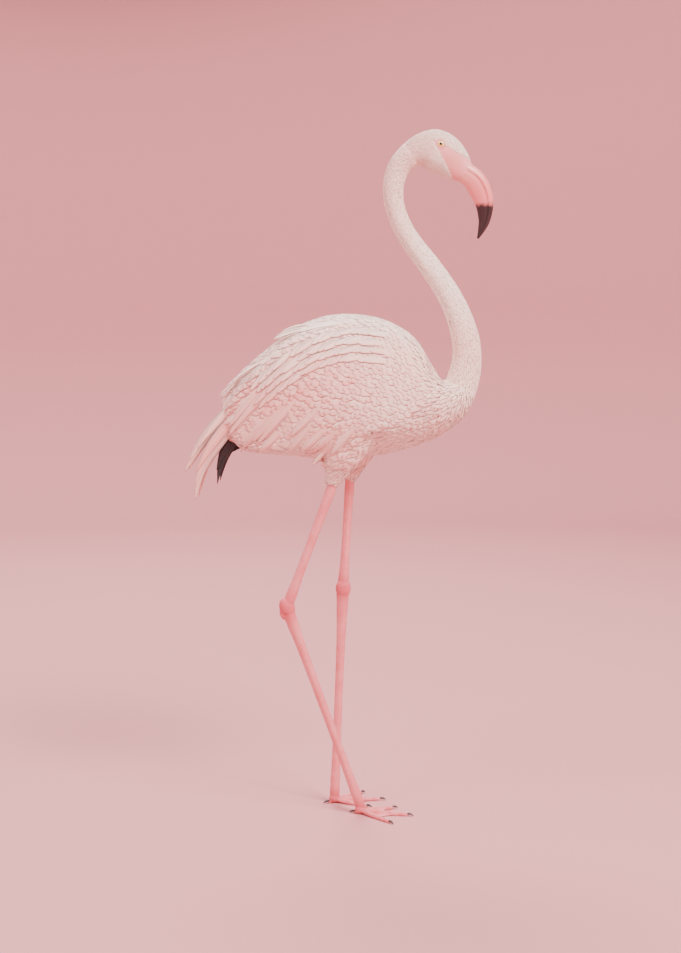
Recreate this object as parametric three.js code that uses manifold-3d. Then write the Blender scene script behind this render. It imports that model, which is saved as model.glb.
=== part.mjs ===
// A standing greater flamingo, life size, in millimetres.
// +X is the way the bird faces, +Y its left side, +Z up, and the floor is z = 0.
// Trunk, neck and head are modelled whole and parted by thin cuts; the long hanging feathers are blades.

import * as THREE from "three";
import { mergeVertices } from "three/addons/utils/BufferGeometryUtils.js";
import Module from "manifold-3d";

const wasm = await Module();
wasm.setup();

// ---- Driving dimensions ----

const GAP = 0.3; // between pieces that touch
const SIDES = { right: -1, left: 1 };

// The right foot is set forward and its leg slants; the left leg stands nearly upright.
const TARSUS_LENGTH = 378;
const FOOT_JOINT_HEIGHT = 14;
const FOOT_JOINT = { right: [37, -32], left: [-9, 32] };
const ANKLE_X = { right: -92, left: 6 };
const ANKLE_Y = 33;
const TOE_LENGTH = { inner: 74, middle: 94, outer: 82, hind: 22 };
const TOE_SPREAD = { inner: 34, middle: 0, outer: -38, hind: 172 }; // degrees from the middle toe, outwards negative
const FOOT_HEADING = 9; // degrees that each foot turns outwards

const EYEBALL_RADIUS = 8.4;
const EYE_CENTRE = [172, 19, 1166];

// ---- Materials ----

function finish(colour, roughness) {
  return new THREE.MeshStandardMaterial({ color: colour, roughness, metalness: 0 });
}

const PLUMAGE = finish(0xf6e3d8, 0.85);
const ROSY_PLUMAGE = finish(0xf0b3a8, 0.8);
const FLIGHT_FEATHER = finish(0x1d1a1c, 0.6);
const LEG_SKIN = finish(0xe38f8c, 0.55);
const BILL_HORN = finish(0xeaa09a, 0.35);
const CLAW_HORN = finish(0x2c2426, 0.4);
const EYE = finish(0xe9d36a, 0.1);

// ---- Shapes ----

// Smooth rows: t runs from 0 at the first row to 1 at the last, and every column is a Catmull-Rom curve.
function smoothRow(rows, t) {
  const place = THREE.MathUtils.clamp(t, 0, 1) * (rows.length - 1);
  const i = Math.min(Math.floor(place), rows.length - 2);
  const f = place - i;
  const row = (k) => rows[THREE.MathUtils.clamp(k, 0, rows.length - 1)];
  return rows[0].map((_, c) => {
    const [a, b, d, e] = [row(i - 1)[c], row(i)[c], row(i + 1)[c], row(i + 2)[c]];
    const bend = 2 * a - 5 * b + 4 * d - e;
    const twist = -a + 3 * b - 3 * d + e;
    return 0.5 * (2 * b + (d - a) * f + bend * f * f + twist * f * f * f);
  });
}

// A closed skin over rings of equal length, with a point in the middle of each end.
function loft(rings) {
  const around = rings[0].length;
  const points = rings.flat();
  const ends = [rings[0], rings[rings.length - 1]].map((ring) =>
    ring.reduce((sum, p) => sum.add(p), new THREE.Vector3()).divideScalar(around),
  );
  const firstEnd = points.length;
  const index = [];
  for (let r = 0; r < rings.length - 1; r++) {
    for (let k = 0; k < around; k++) {
      const a = r * around + k;
      const b = r * around + ((k + 1) % around);
      index.push(a, b, a + around, b, b + around, a + around);
    }
  }
  const last = (rings.length - 1) * around;
  for (let k = 0; k < around; k++) {
    const next = (k + 1) % around;
    index.push(firstEnd, next, k);
    index.push(firstEnd + 1, last + k, last + next);
  }
  return new THREE.BufferGeometry().setFromPoints([...points, ...ends]).setIndex(index);
}

// An oval tube. A row is [x, y, z, half height, half width]; the half width lies along Y as nearly as it can.
function sweep(rows, { steps, around, grow = 0 }) {
  const at = (t) => new THREE.Vector3(...smoothRow(rows, t));
  const rings = [];
  for (let s = 0; s <= steps; s++) {
    const t = s / steps;
    const [, , , high, wide] = smoothRow(rows, t);
    const along = at(t + 0.01).sub(at(t - 0.01)).normalize();
    const across = new THREE.Vector3(0, 1, 0).addScaledVector(along, -along.y).normalize();
    const upwards = new THREE.Vector3().crossVectors(along, across);
    rings.push(
      Array.from({ length: around }, (_, k) => {
        const angle = (2 * Math.PI * k) / around;
        return at(t)
          .addScaledVector(across, Math.cos(angle) * (wide + grow))
          .addScaledVector(upwards, Math.sin(angle) * (high + grow));
      }),
    );
  }
  return loft(rings);
}

// The trunk: each ring is an egg that is widest at its own height.
function trunkBody({ steps, around, grow = 0 }) {
  const rings = [];
  for (let s = 0; s <= steps; s++) {
    const [x, top, underside, wide, share] = smoothRow(TRUNK, s / steps);
    const waist = THREE.MathUtils.lerp(underside, top, share);
    rings.push(
      Array.from({ length: around }, (_, k) => {
        const angle = (2 * Math.PI * k) / around;
        const high = Math.sin(angle) > 0 ? top - waist : waist - underside;
        return new THREE.Vector3(x, Math.cos(angle) * (wide + grow), waist + Math.sin(angle) * (high + grow));
      }),
    );
  }
  return loft(rings);
}

// A geometry as a solid, with its faces turned outwards whichever way its rings ran.
function solid(geometry) {
  const bare = geometry.clone();
  for (const name of ["normal", "uv"]) bare.deleteAttribute(name);
  const merged = mergeVertices(bare, 1e-4);
  const vertProperties = Float32Array.from(merged.attributes.position.array);
  const triVerts = Uint32Array.from(merged.index.array);
  const closed = (corners) => new wasm.Manifold(new wasm.Mesh({ numProp: 3, vertProperties, triVerts: corners }));
  const made = closed(triVerts);
  return made.volume() > 0 ? made : closed(triVerts.reverse());
}

const sweptSolid = (rows, size) => solid(sweep(rows, size));
const joined = (solids) => solids.reduce((whole, next) => whole.add(next));
const without = (whole, ...cuts) => cuts.reduce((left, cut) => left.subtract(cut), whole);
const largest = (made) => made.decompose().sort((a, b) => b.volume() - a.volume())[0];

// A thin square plate, centred on a point of a path and lying across it, that parts a limb.
function partingPlate([x, y, z], along, width) {
  const plate = new THREE.BoxGeometry(width, width, GAP);
  const turn = new THREE.Quaternion().setFromUnitVectors(
    new THREE.Vector3(0, 0, 1),
    new THREE.Vector3(...along).normalize(),
  );
  plate.applyQuaternion(turn).translate(x, y, z);
  return solid(plate);
}

// The piece of a parted solid that holds a point.
function pieceAt(parts, [x, y, z]) {
  const point = new THREE.Vector3(x, y, z);
  const holds = (part) => {
    const { min, max } = part.boundingBox();
    const box = new THREE.Box3(new THREE.Vector3(...min), new THREE.Vector3(...max));
    return box.distanceToPoint(point) + box.getCenter(new THREE.Vector3()).distanceTo(point) * 1e-3;
  };
  return [...parts].sort((a, b) => holds(a) - holds(b))[0];
}

const nodes = [];
function node(name, made, material) {
  const { vertProperties, triVerts } = made.getMesh();
  const geometry = new THREE.BufferGeometry()
    .setAttribute("position", new THREE.BufferAttribute(Float32Array.from(vertProperties), 3))
    .setIndex(new THREE.BufferAttribute(Uint32Array.from(triVerts), 1));
  geometry.computeVertexNormals();
  const mesh = new THREE.Mesh(geometry, material);
  mesh.name = name;
  nodes.push(mesh);
}

// ---- Trunk, neck and head ----

// Upright rings from the breast to the rump: x, top, underside, half width, and how high the widest part is as a share.
const TRUNK = [
  [236, 748, 738, 6, 0.5],
  [228, 758, 718, 25, 0.5],
  [211, 760, 699, 43, 0.5],
  [186, 759, 675, 57, 0.55],
  [160, 789, 660, 69, 0.52],
  [140, 824, 651, 74, 0.51],
  [120, 846, 645, 78, 0.5],
  [75, 870, 633, 84, 0.52],
  [25, 879, 627, 85, 0.54],
  [-25, 876, 627, 83, 0.56],
  [-75, 857, 632, 77, 0.58],
  [-120, 823, 640, 66, 0.6],
  [-160, 791, 655, 50, 0.6],
  [-190, 761, 680, 32, 0.55],
  [-201, 746, 694, 16, 0.5],
  [-206, 736, 706, 4, 0.5],
];

const NECK_AND_HEAD = [
  [150, 0, 702, 44, 46],
  [188, 0, 726, 41, 42],
  [211, 0, 757, 31.5, 32],
  [220.5, 0, 792, 27, 26],
  [218.5, 0, 836, 24.5, 23.5],
  [198.5, 0, 894, 21.5, 20.8],
  [163, 0, 951, 19.5, 19],
  [120, 0, 1007, 17.8, 17.6],
  [98.8, 0, 1049, 17.2, 17],
  [91.4, 0, 1089, 18, 17.5],
  [99.5, 0, 1126, 19.3, 18],
  [119.5, 0, 1148.5, 22.5, 20],
  [141, 0, 1158, 30, 24],
  [162, 0, 1158, 37, 26.5],
  [180, 0, 1149.5, 36.2, 25],
  [195, 0, 1138, 31.3, 19.5],
  [207, 0, 1127.5, 25.5, 15],
  [216, 0, 1120, 20, 12.5],
];

// Where the neck is parted, as shares of the way from its root to the bill.
const NECK_CUTS = { base: 0.132, lower: 0.31, middle: 0.45, upper: 0.625 };

// ---- Bill ----

// Rows down the mouth line, from the gape to the tip: x, z, depth of the upper and lower bill, their half widths.
const BILL = [
  [194, 1135, 13.5, 20, 12, 12],
  [216, 1126, 13, 23, 12.4, 13],
  [237, 1112, 12, 27, 11.4, 14],
  [250, 1091, 11, 27.5, 10.2, 13.6],
  [255, 1067, 10, 22, 8.8, 11.4],
  [252.5, 1042, 8, 14.5, 6.8, 8.2],
  [246, 1024, 5.5, 8, 4.6, 5],
  [238.5, 1008, 1.5, 2.2, 1.5, 1.4],
];
const BILL_STEPS = 12;
const BILL_ARCH = 8;

// half is 1 for the upper bill and -1 for the lower one.
function billHalf(half, grow) {
  const rings = Array.from({ length: BILL_STEPS + 1 }, (_, s) => {
    const t = s / BILL_STEPS;
    const [x, z, above, below, wideAbove, wideBelow] = smoothRow(BILL, t);
    const [aheadX, aheadZ] = smoothRow(BILL, t + 0.01);
    const [behindX, behindZ] = smoothRow(BILL, t - 0.01);
    const heading = Math.atan2(aheadZ - behindZ, aheadX - behindX);
    const depth = (half > 0 ? above : below) + grow;
    const wide = (half > 0 ? wideAbove : wideBelow) + grow;
    const lip = half * (GAP / 2 - grow);
    return Array.from({ length: BILL_ARCH + 1 }, (_, k) => {
      const angle = (Math.PI * k) / BILL_ARCH;
      const out = half * Math.sin(angle) ** 0.8 * depth + lip;
      return new THREE.Vector3(x - Math.sin(heading) * out, Math.cos(angle) * wide, z + Math.cos(heading) * out);
    });
  });
  return solid(loft(rings));
}

// ---- Wings, folded along the flanks ----

// Rows from the wrist to the rear: x, upper edge, lower edge, how far out the wing stands.
const WING_OUTLINE = [
  [154, 772, 742, 66],
  [146, 806, 716, 74],
  [110, 848, 692, 84],
  [60, 868, 672, 92],
  [0, 866, 656, 94],
  [-60, 846, 646, 90],
  [-115, 806, 640, 80],
  [-160, 766, 642, 68],
  [-188, 735, 662, 58],
  [-198, 712, 684, 54],
];
const WING_MIDDLE_Z = 744;
const WING_ROUNDNESS = 142; // half the height of the oval that the wing lies round
const WING_EDGE = 3;
const WING_THICKNESS = 17;
const WING_STEPS = 10;
const WING_ACROSS = 7;

function wing(side, grow) {
  const rings = [];
  for (let s = 0; s <= WING_STEPS; s++) {
    const u = s / WING_STEPS;
    const [x, top, bottom, reach] = smoothRow(WING_OUTLINE, u);
    const end = s === 0 ? grow : s === WING_STEPS ? -grow : 0;
    const face = (inset) =>
      Array.from({ length: WING_ACROSS }, (_, k) => {
        const v = k / (WING_ACROSS - 1);
        const z = THREE.MathUtils.lerp(top + grow, bottom - grow, v);
        const round = Math.sqrt(1 - ((z - WING_MIDDLE_Z) / WING_ROUNDNESS) ** 2);
        const thick = WING_EDGE + (WING_THICKNESS - WING_EDGE) * Math.sin(Math.PI * v) * Math.sin(Math.PI * u) ** 0.5;
        const y = reach * round + grow - inset * (thick + 2 * grow);
        return new THREE.Vector3(x + end, side * y, z);
      });
    rings.push([...face(0), ...face(1).reverse()]);
  }
  return solid(loft(rings));
}

// ---- Large feathers ----

const BLADE = { steps: 5, around: 6 };

// A bunch of blades for one side. A row is [x, y, z, half width of the vane, half thickness], for the left side.
function bunch(blades, side, grow) {
  const sided = (rows) => rows.map(([x, y, z, wide, thick]) => [x, side * y, z, wide, thick]);
  return joined(blades.map((rows) => sweptSolid(sided(rows), { ...BLADE, grow })));
}

const TERTIALS = [
  [
    [-112, 56, 790, 18, 6],
    [-164, 50, 743, 14, 4],
    [-205, 42, 698, 13, 2.6],
    [-244, 35, 653, 10, 1.8],
    [-268, 31, 606, 1.5, 0.7],
  ],
  [
    [-112, 55, 762, 22, 6],
    [-166, 49, 712, 20, 4],
    [-209, 42, 660, 16, 2.6],
    [-240, 36, 608, 10.5, 1.8],
    [-251, 33, 557, 1.5, 0.7],
  ],
];

const PRIMARIES = [
  [
    [-96, 48, 722, 20, 5],
    [-142, 45, 694, 18, 4],
    [-182, 39, 661, 14, 2.6],
    [-204, 35, 626, 8.5, 1.8],
    [-212, 33, 586, 1.5, 0.7],
  ],
  [
    [-96, 46, 706, 18, 5],
    [-134, 42, 680, 14, 4],
    [-158, 37, 664, 11, 2.6],
    [-174, 33, 652, 6, 1.8],
    [-186, 31, 641, 1.5, 0.7],
  ],
];

const TAIL = [
  [-150, 0, 736, 16, 24],
  [-186, 0, 708, 10, 31],
  [-218, 0, 682, 5, 34],
  [-236, 0, 666, 2.4, 30],
  [-243, 0, 660, 1, 22],
];

// ---- Thighs ----

const THIGH = {
  right: [
    [42, -50, 735, 30, 17],
    [26, -52, 690, 46, 26],
    [8, -48, 648, 39, 25],
    [-3, -43, 618, 28, 19],
    [-9, -39, 597, 18, 13],
    [-13, -37, 581, 10, 9.5],
  ],
  left: [
    [54, 50, 735, 28, 17],
    [49, 52, 690, 40, 26],
    [37, 48, 650, 33, 25],
    [27, 43, 618, 23, 18],
    [21, 39, 597, 15.5, 13],
    [18, 37, 581, 10, 9.5],
  ],
};

// ---- Legs and feet ----

// Half sizes, fore and aft then sideways, at even steps down each long bone.
const SHANK_PROFILE = [
  [8.8, 8],
  [7.4, 6.6],
  [6.8, 6],
  [6.8, 6],
  [7.4, 6.6],
  [10, 8.4],
];
const TARSUS_PROFILE = [
  [11, 8.6],
  [7.8, 6.4],
  [6.7, 5.3],
  [6.4, 5],
  [6.4, 5],
  [6.8, 5.4],
  [8.6, 7.6],
];
const ANKLE_KNOB = [15.5, 11.5, 20]; // half sizes fore and aft, sideways and along the leg
const SHANK_DEPTH_IN_THIGH = 34;

function ankle(side) {
  const [fx, fy] = FOOT_JOINT[side];
  const reach = Math.hypot(ANKLE_X[side] - fx, SIDES[side] * ANKLE_Y - fy);
  const rise = Math.sqrt(TARSUS_LENGTH ** 2 - reach ** 2);
  return [ANKLE_X[side], SIDES[side] * ANKLE_Y, FOOT_JOINT_HEIGHT + rise];
}

function boneRows(from, to, profile) {
  return profile.map((half, i) => {
    const t = i / (profile.length - 1);
    return [...from.map((v, c) => THREE.MathUtils.lerp(v, to[c], t)), ...half];
  });
}

function legPath(side) {
  const thigh = THIGH[side];
  const exit = thigh[thigh.length - 1].slice(0, 3);
  const hock = ankle(side);
  const along = new THREE.Vector3(...exit).sub(new THREE.Vector3(...hock)).normalize();
  const top = exit.map((v, c) => v + along.getComponent(c) * SHANK_DEPTH_IN_THIGH);
  return { top, hock, foot: [...FOOT_JOINT[side], FOOT_JOINT_HEIGHT] };
}

function shank(side, grow) {
  const { top, hock } = legPath(side);
  return sweptSolid(boneRows(top, hock, SHANK_PROFILE), { steps: 5, around: 10, grow });
}

function tarsus(side) {
  const { hock, foot } = legPath(side);
  return sweptSolid(boneRows(hock, foot, TARSUS_PROFILE), { steps: 6, around: 10 });
}

function knob(side) {
  const { hock, foot } = legPath(side);
  const [foreAft, sideways, along] = ANKLE_KNOB;
  const ball = new THREE.SphereGeometry(1, 10, 6).rotateX(Math.PI / 2).scale(foreAft, sideways, along);
  const down = new THREE.Vector3(...hock).sub(new THREE.Vector3(...foot)).normalize();
  const turn = new THREE.Quaternion().setFromUnitVectors(new THREE.Vector3(0, 0, 1), down);
  return solid(ball.applyQuaternion(turn).translate(...hock));
}

const TOE_BASE_RADIUS = 5.2;
const TOE_TIP_RADIUS = 3.4;
const TOE_FLAT = 0.7; // how much of the toe's round underside is worn flat
const TOE_STEPS = 5;
const CLAW_LENGTH = 9;
const WEB_THICKNESS = 1.8;
const WEB_LIFT = 0.5;
const WEB_REACH = 0.86; // share of each toe's length that the web runs along
const WEB_NOTCH = 0.6; // how far out the middle of the web's edge is, against its ends

function toeHeading(side, toe) {
  const degrees = -FOOT_HEADING + TOE_SPREAD[toe];
  return THREE.MathUtils.degToRad(-SIDES[side] * degrees);
}

function toePoint(side, toe, distance) {
  const [x, y] = FOOT_JOINT[side];
  const heading = toeHeading(side, toe);
  return [x + Math.cos(heading) * distance, y + Math.sin(heading) * distance];
}

function toeSolid(side, toe) {
  const length = TOE_LENGTH[toe] - CLAW_LENGTH;
  const slim = toe === "hind" ? 0.8 : 1;
  const rows = Array.from({ length: TOE_STEPS + 1 }, (_, i) => {
    const t = i / TOE_STEPS;
    const radius = THREE.MathUtils.lerp(TOE_BASE_RADIUS, TOE_TIP_RADIUS, t) * slim;
    const height = radius - TOE_FLAT + (1 - t) ** 4 * 4;
    const end = i === TOE_STEPS ? 0.55 : 1;
    return [...toePoint(side, toe, t * length), height, radius * end, radius * end];
  });
  return sweptSolid(rows, { steps: TOE_STEPS, around: 8 });
}

function clawSolid(side, toe, grow) {
  const start = TOE_LENGTH[toe] - CLAW_LENGTH - 2.5;
  const rows = [
    [0, 4, 1.5, 1.6],
    [0.35, 4.4, 2.2, 2.4],
    [0.7, 3.2, 1.6, 1.9],
    [1, 1.5, 0.6, 0.8],
  ].map(([t, z, high, wide]) => [...toePoint(side, toe, start + t * (CLAW_LENGTH + 2.5)), z, high, wide]);
  return sweptSolid(rows, { steps: 3, around: 6, grow });
}

function webSolid(side, toe, neighbour) {
  const reach = (name) => toePoint(side, name, (TOE_LENGTH[name] - CLAW_LENGTH) * WEB_REACH);
  const [from, to] = [reach(toe), reach(neighbour)];
  const [jx, jy] = FOOT_JOINT[side];
  const middle = [(from[0] + to[0]) / 2, (from[1] + to[1]) / 2];
  const hollow = [jx + (middle[0] - jx) * WEB_NOTCH, jy + (middle[1] - jy) * WEB_NOTCH];
  const outline = new THREE.Shape().moveTo(jx, jy).lineTo(...from).quadraticCurveTo(...hollow, ...to).closePath();
  const sheet = new THREE.ExtrudeGeometry(outline, {
    depth: WEB_THICKNESS,
    bevelEnabled: false,
    curveSegments: 5,
  });
  return solid(sheet.translate(0, 0, WEB_LIFT));
}

const FRONT_TOES = ["inner", "middle", "outer"];

function foot(side) {
  const [x, y] = FOOT_JOINT[side];
  const pad = new THREE.SphereGeometry(1, 10, 6).rotateX(Math.PI / 2).scale(10.5, 9.5, 9).translate(x, y, 8.2);
  const toes = [...FRONT_TOES, "hind"].map((toe) => toeSolid(side, toe));
  const webs = [webSolid(side, "inner", "middle"), webSolid(side, "middle", "outer")];
  const belowFloor = new THREE.BoxGeometry(400, 400, 20).translate(x, y, -10);
  return joined([solid(pad), ...toes, ...webs]).subtract(solid(belowFloor));
}

// ---- Assembly ----

const STEPS_OF_NECK = 38;
const trunkWhole = solid(trunkBody({ steps: 20, around: 20 }));
const neckAndHead = sweptSolid(NECK_AND_HEAD, { steps: STEPS_OF_NECK, around: 12 });
const bothSides = (make) => Object.entries(SIDES).map(([name, side]) => make(side, name));

const eyeball = (side, grow) =>
  solid(
    new THREE.SphereGeometry(EYEBALL_RADIUS + grow, 12, 8).translate(
      EYE_CENTRE[0],
      side * EYE_CENTRE[1],
      EYE_CENTRE[2],
    ),
  );

const tail = (grow) => sweptSolid(TAIL, { steps: 5, around: 10, grow });
const thigh = (name, grow) => sweptSolid(THIGH[name], { steps: 6, around: 12, grow });

const neckPlates = Object.values(NECK_CUTS).map((t) => {
  const ahead = smoothRow(NECK_AND_HEAD, t + 0.01);
  const behind = smoothRow(NECK_AND_HEAD, t - 0.01);
  const [x, y, z, high] = smoothRow(NECK_AND_HEAD, t);
  const along = [0, 1, 2].map((c) => ahead[c] - behind[c]);
  return partingPlate([x, y, z], along, 2 * high + 6);
});

const fleshParts = without(
  trunkWhole.add(neckAndHead),
  ...neckPlates,
  ...bothSides((side) => wing(side, GAP)),
  ...bothSides((side) => bunch(TERTIALS, side, GAP)),
  ...bothSides((side) => bunch(PRIMARIES, side, GAP)),
  ...bothSides((_, name) => thigh(name, GAP)),
  ...bothSides((side) => eyeball(side, GAP)),
  tail(GAP),
  billHalf(1, GAP),
  billHalf(-1, GAP),
).decompose();

const cuts = Object.values(NECK_CUTS);
const middleOf = (from, to) => smoothRow(NECK_AND_HEAD, (from + to) / 2).slice(0, 3);
node("trunk", fleshParts.toSorted((a, b) => b.volume() - a.volume())[0], PLUMAGE);
["neck_base", "neck_lower", "neck_upper"].forEach((name, i) => {
  node(name, pieceAt(fleshParts, middleOf(cuts[i], cuts[i + 1])), PLUMAGE);
});
node("head", pieceAt(fleshParts, [160, 0, 1163]), PLUMAGE);
node("bill_upper", largest(billHalf(1, 0)), BILL_HORN);
node("bill_lower", largest(billHalf(-1, 0)), BILL_HORN);
node(
  "tail",
  largest(
    without(
      tail(0),
      ...bothSides((side) => bunch(TERTIALS, side, GAP)),
      ...bothSides((side) => bunch(PRIMARIES, side, GAP)),
      ...bothSides((side) => wing(side, GAP)),
    ),
  ),
  PLUMAGE,
);

for (const [name, side] of Object.entries(SIDES)) {
  node(`eye_${name}`, eyeball(side, 0), EYE);
  node(`wing_${name}`, wing(side, 0), ROSY_PLUMAGE);
  node(`tertials_${name}`, largest(bunch(TERTIALS, side, 0).subtract(wing(side, GAP))), ROSY_PLUMAGE);
  node(
    `primaries_${name}`,
    largest(without(bunch(PRIMARIES, side, 0), wing(side, GAP), bunch(TERTIALS, side, GAP))),
    FLIGHT_FEATHER,
  );
  node(`thigh_${name}`, largest(without(thigh(name, 0), shank(name, GAP), wing(side, GAP))), PLUMAGE);

  const { top, hock, foot: joint } = legPath(name);
  const shankAlong = hock.map((v, c) => v - top[c]);
  const tarsusAlong = joint.map((v, c) => v - hock[c]);
  const alongTarsus = (t) => hock.map((v, c) => v + tarsusAlong[c] * t);
  const alongShank = (t) => top.map((v, c) => v + shankAlong[c] * t);
  const claws = [...FRONT_TOES, "hind"];
  const legParts = without(
    joined([shank(name, 0), knob(name), tarsus(name), foot(name)]),
    partingPlate(alongShank(0.89), shankAlong, 40),
    partingPlate(alongTarsus(0.07), tarsusAlong, 40),
    partingPlate(alongTarsus(0.945), tarsusAlong, 34),
    ...claws.map((toe) => clawSolid(name, toe, GAP)),
  ).decompose();
  node(`shank_${name}`, pieceAt(legParts, alongShank(0.45)), LEG_SKIN);
  node(`ankle_${name}`, pieceAt(legParts, hock), LEG_SKIN);
  node(`tarsus_${name}`, pieceAt(legParts, alongTarsus(0.5)), LEG_SKIN);
  node(`foot_${name}`, pieceAt(legParts, [...toePoint(name, "middle", 40), 4]), LEG_SKIN);
  for (const toe of claws) node(`claw_${toe}_${name}`, clawSolid(name, toe, 0), CLAW_HORN);
}

const flamingo = new THREE.Group();
flamingo.name = "flamingo";
flamingo.add(...nodes);

// The origin is on the floor, under the middle of the bird's length.
const whole = new THREE.Box3().setFromObject(flamingo);
flamingo.position.x = -whole.getCenter(new THREE.Vector3()).x;

export default flamingo;
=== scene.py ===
import math

import bmesh
import bpy
import numpy as np
from mathutils import Matrix, Vector
from mathutils.bvhtree import BVHTree
from mathutils.kdtree import KDTree


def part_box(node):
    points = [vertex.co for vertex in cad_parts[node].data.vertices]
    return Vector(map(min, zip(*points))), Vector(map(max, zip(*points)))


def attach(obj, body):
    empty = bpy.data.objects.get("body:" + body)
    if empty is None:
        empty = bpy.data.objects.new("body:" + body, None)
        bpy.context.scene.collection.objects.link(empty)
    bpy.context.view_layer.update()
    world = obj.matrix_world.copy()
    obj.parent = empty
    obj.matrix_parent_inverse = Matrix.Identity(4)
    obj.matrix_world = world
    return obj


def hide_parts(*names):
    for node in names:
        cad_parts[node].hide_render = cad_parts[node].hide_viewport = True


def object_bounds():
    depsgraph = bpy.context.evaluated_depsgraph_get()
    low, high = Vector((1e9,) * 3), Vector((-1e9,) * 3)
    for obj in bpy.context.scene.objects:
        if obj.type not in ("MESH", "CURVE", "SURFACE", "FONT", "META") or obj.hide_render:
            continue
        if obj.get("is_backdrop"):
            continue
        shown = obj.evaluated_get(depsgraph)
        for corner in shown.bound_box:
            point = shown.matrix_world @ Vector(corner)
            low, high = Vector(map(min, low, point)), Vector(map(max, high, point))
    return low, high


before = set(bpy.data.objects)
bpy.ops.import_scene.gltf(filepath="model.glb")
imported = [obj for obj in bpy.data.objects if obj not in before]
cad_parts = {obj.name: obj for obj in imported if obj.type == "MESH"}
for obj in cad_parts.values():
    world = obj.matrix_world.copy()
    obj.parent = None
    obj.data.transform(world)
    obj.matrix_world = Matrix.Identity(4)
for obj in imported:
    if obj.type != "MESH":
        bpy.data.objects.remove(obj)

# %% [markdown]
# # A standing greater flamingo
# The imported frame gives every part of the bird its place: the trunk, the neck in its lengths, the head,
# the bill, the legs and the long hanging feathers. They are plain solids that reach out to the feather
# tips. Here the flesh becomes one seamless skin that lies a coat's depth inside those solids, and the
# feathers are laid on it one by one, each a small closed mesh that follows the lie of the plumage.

CAD_BOX = [list(corner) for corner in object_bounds()]
dice = np.random.default_rng(7)
print("frame:", len(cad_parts), "nodes, box", np.round(CAD_BOX, 3).tolist())

# %% [markdown]
# ## Measures
# All places below are millimetres on the bird itself: x runs forward from a point between its legs, y to
# its left, z up from the floor. The frame's own zero is the middle of its box, so one known place, the
# eye, ties the two.

# %% Millimetres on the bird to metres in the frame
MM = 0.001
EYE = (172, 19, 1166)
SIDES = {"right": -1, "left": 1}  # which way y runs on that side
eye_low, eye_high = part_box("eye_left")
ZERO_X = (eye_low.x + eye_high.x) / 2 - EYE[0] * MM


def at(x, y, z):
    """A place on the bird in millimetres, as a vector in the frame."""
    return Vector((ZERO_X + x * MM, y * MM, z * MM))


def side_view(places):
    """Places in the frame back to (x, z) in millimetres, for whole arrays at once."""
    return np.stack([(places[..., 0] - ZERO_X) / MM, places[..., 2] / MM], -1)


print("the bird's own zero is at x =", round(ZERO_X, 4))

# %% [markdown]
# Long shapes such as the bill, the bones and the long feathers are written as a few rows of places and
# sizes. A smooth curve through the rows gives every row in between. Where a form swells or dips softly, a
# bell or a soft step does it.

# %% Curves and steps
def smooth_row(rows, t):
    """The row at share t of the way down a table, on a Catmull-Rom curve through every column."""
    rows = np.asarray(rows, float)
    along = min(max(t, 0.0), 1.0) * (len(rows) - 1)
    i = min(int(along), len(rows) - 2)
    f = along - i
    a, b, c, d = (rows[min(max(k, 0), len(rows) - 1)] for k in range(i - 1, i + 3))
    return 0.5 * (2 * b + (c - a) * f + (2 * a - 5 * b + 4 * c - d) * f**2 + (3 * b - a - 3 * c + d) * f**3)


def smooth_line(rows, steps, first=0.0, last=1.0):
    """The rows of the curve at even steps between two shares of it."""
    return np.array([smooth_row(rows, t) for t in np.linspace(first, last, steps)])


def bell(value, middle, wide):
    """A bump of height 1 at the middle that fades over that width."""
    return math.exp(-(((value - middle) / wide) ** 2))


def soft_step(value, low, high):
    """A smooth step from 0 to 1 as value goes from low to high, for whole arrays at once."""
    share = np.clip((value - low) / (high - low), 0.0, 1.0)
    return share * share * (3 - 2 * share)


print("one width away a bell is down to", round(bell(1, 0, 1), 2))

# %% [markdown]
# ## Finishes
# A flamingo has few colours but they change softly over the body: cream plumage that flushes to rose, a
# rosier wing, black flight feathers, pink bare skin and a pink bill with a black tip. Each finish is a
# plain Principled shader. What changes over a surface comes from attributes on the mesh (`flush`,
# `shade`, `bare`, `joint`, `tip`) and from each feather's own UV map, `vane`, which runs across the
# feather and from its root to its tip.

# %% Small helpers for node trees
def feed(socket, value):
    """Links another node's output to a socket, or sets it to a number or to a colour in linear light."""
    if isinstance(value, bpy.types.NodeSocket):
        socket.id_data.links.new(value, socket)
    else:
        socket.default_value = (*value, 1.0) if socket.type == "RGBA" else value


def node(tree, kind, sockets=None, **settings):
    """Adds a shader node, makes its settings, feeds its inputs and gives back its outputs."""
    made = tree.nodes.new("ShaderNode" + kind)
    for name, value in settings.items():
        setattr(made, name, value)
    for socket, value in (sockets or {}).items():
        feed(made.inputs[socket], value)
    return made.outputs


def maths(tree, operation, *values, clamp=False):
    """A Math node."""
    return node(tree, "Math", dict(enumerate(values)), operation=operation, use_clamp=clamp)[0]


def vector_maths(tree, operation, *values):
    """A Vector Math node."""
    return node(tree, "VectorMath", dict(enumerate(values)), operation=operation)


def mix(tree, share, first, second, how="MIX"):
    """A Mix node for colours."""
    sockets = {"Factor": share, "A": first, "B": second}
    return node(tree, "Mix", sockets, data_type="RGBA", blend_type=how)["Result"]


def ramp(tree, value, low, high, to_low=0.0, to_high=1.0):
    """A smooth step from to_low to to_high as value goes from low to high."""
    sockets = {"Value": value, "From Min": low, "From Max": high, "To Min": to_low, "To Max": to_high}
    return node(tree, "MapRange", sockets, interpolation_type="SMOOTHSTEP")["Result"]


def attribute(tree, name):
    """The number that a mesh holds under that name."""
    return node(tree, "Attribute", attribute_name=name)["Fac"]


def own_place(tree):
    """The piece's own coordinates."""
    return node(tree, "TexCoord")["Object"]


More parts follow.
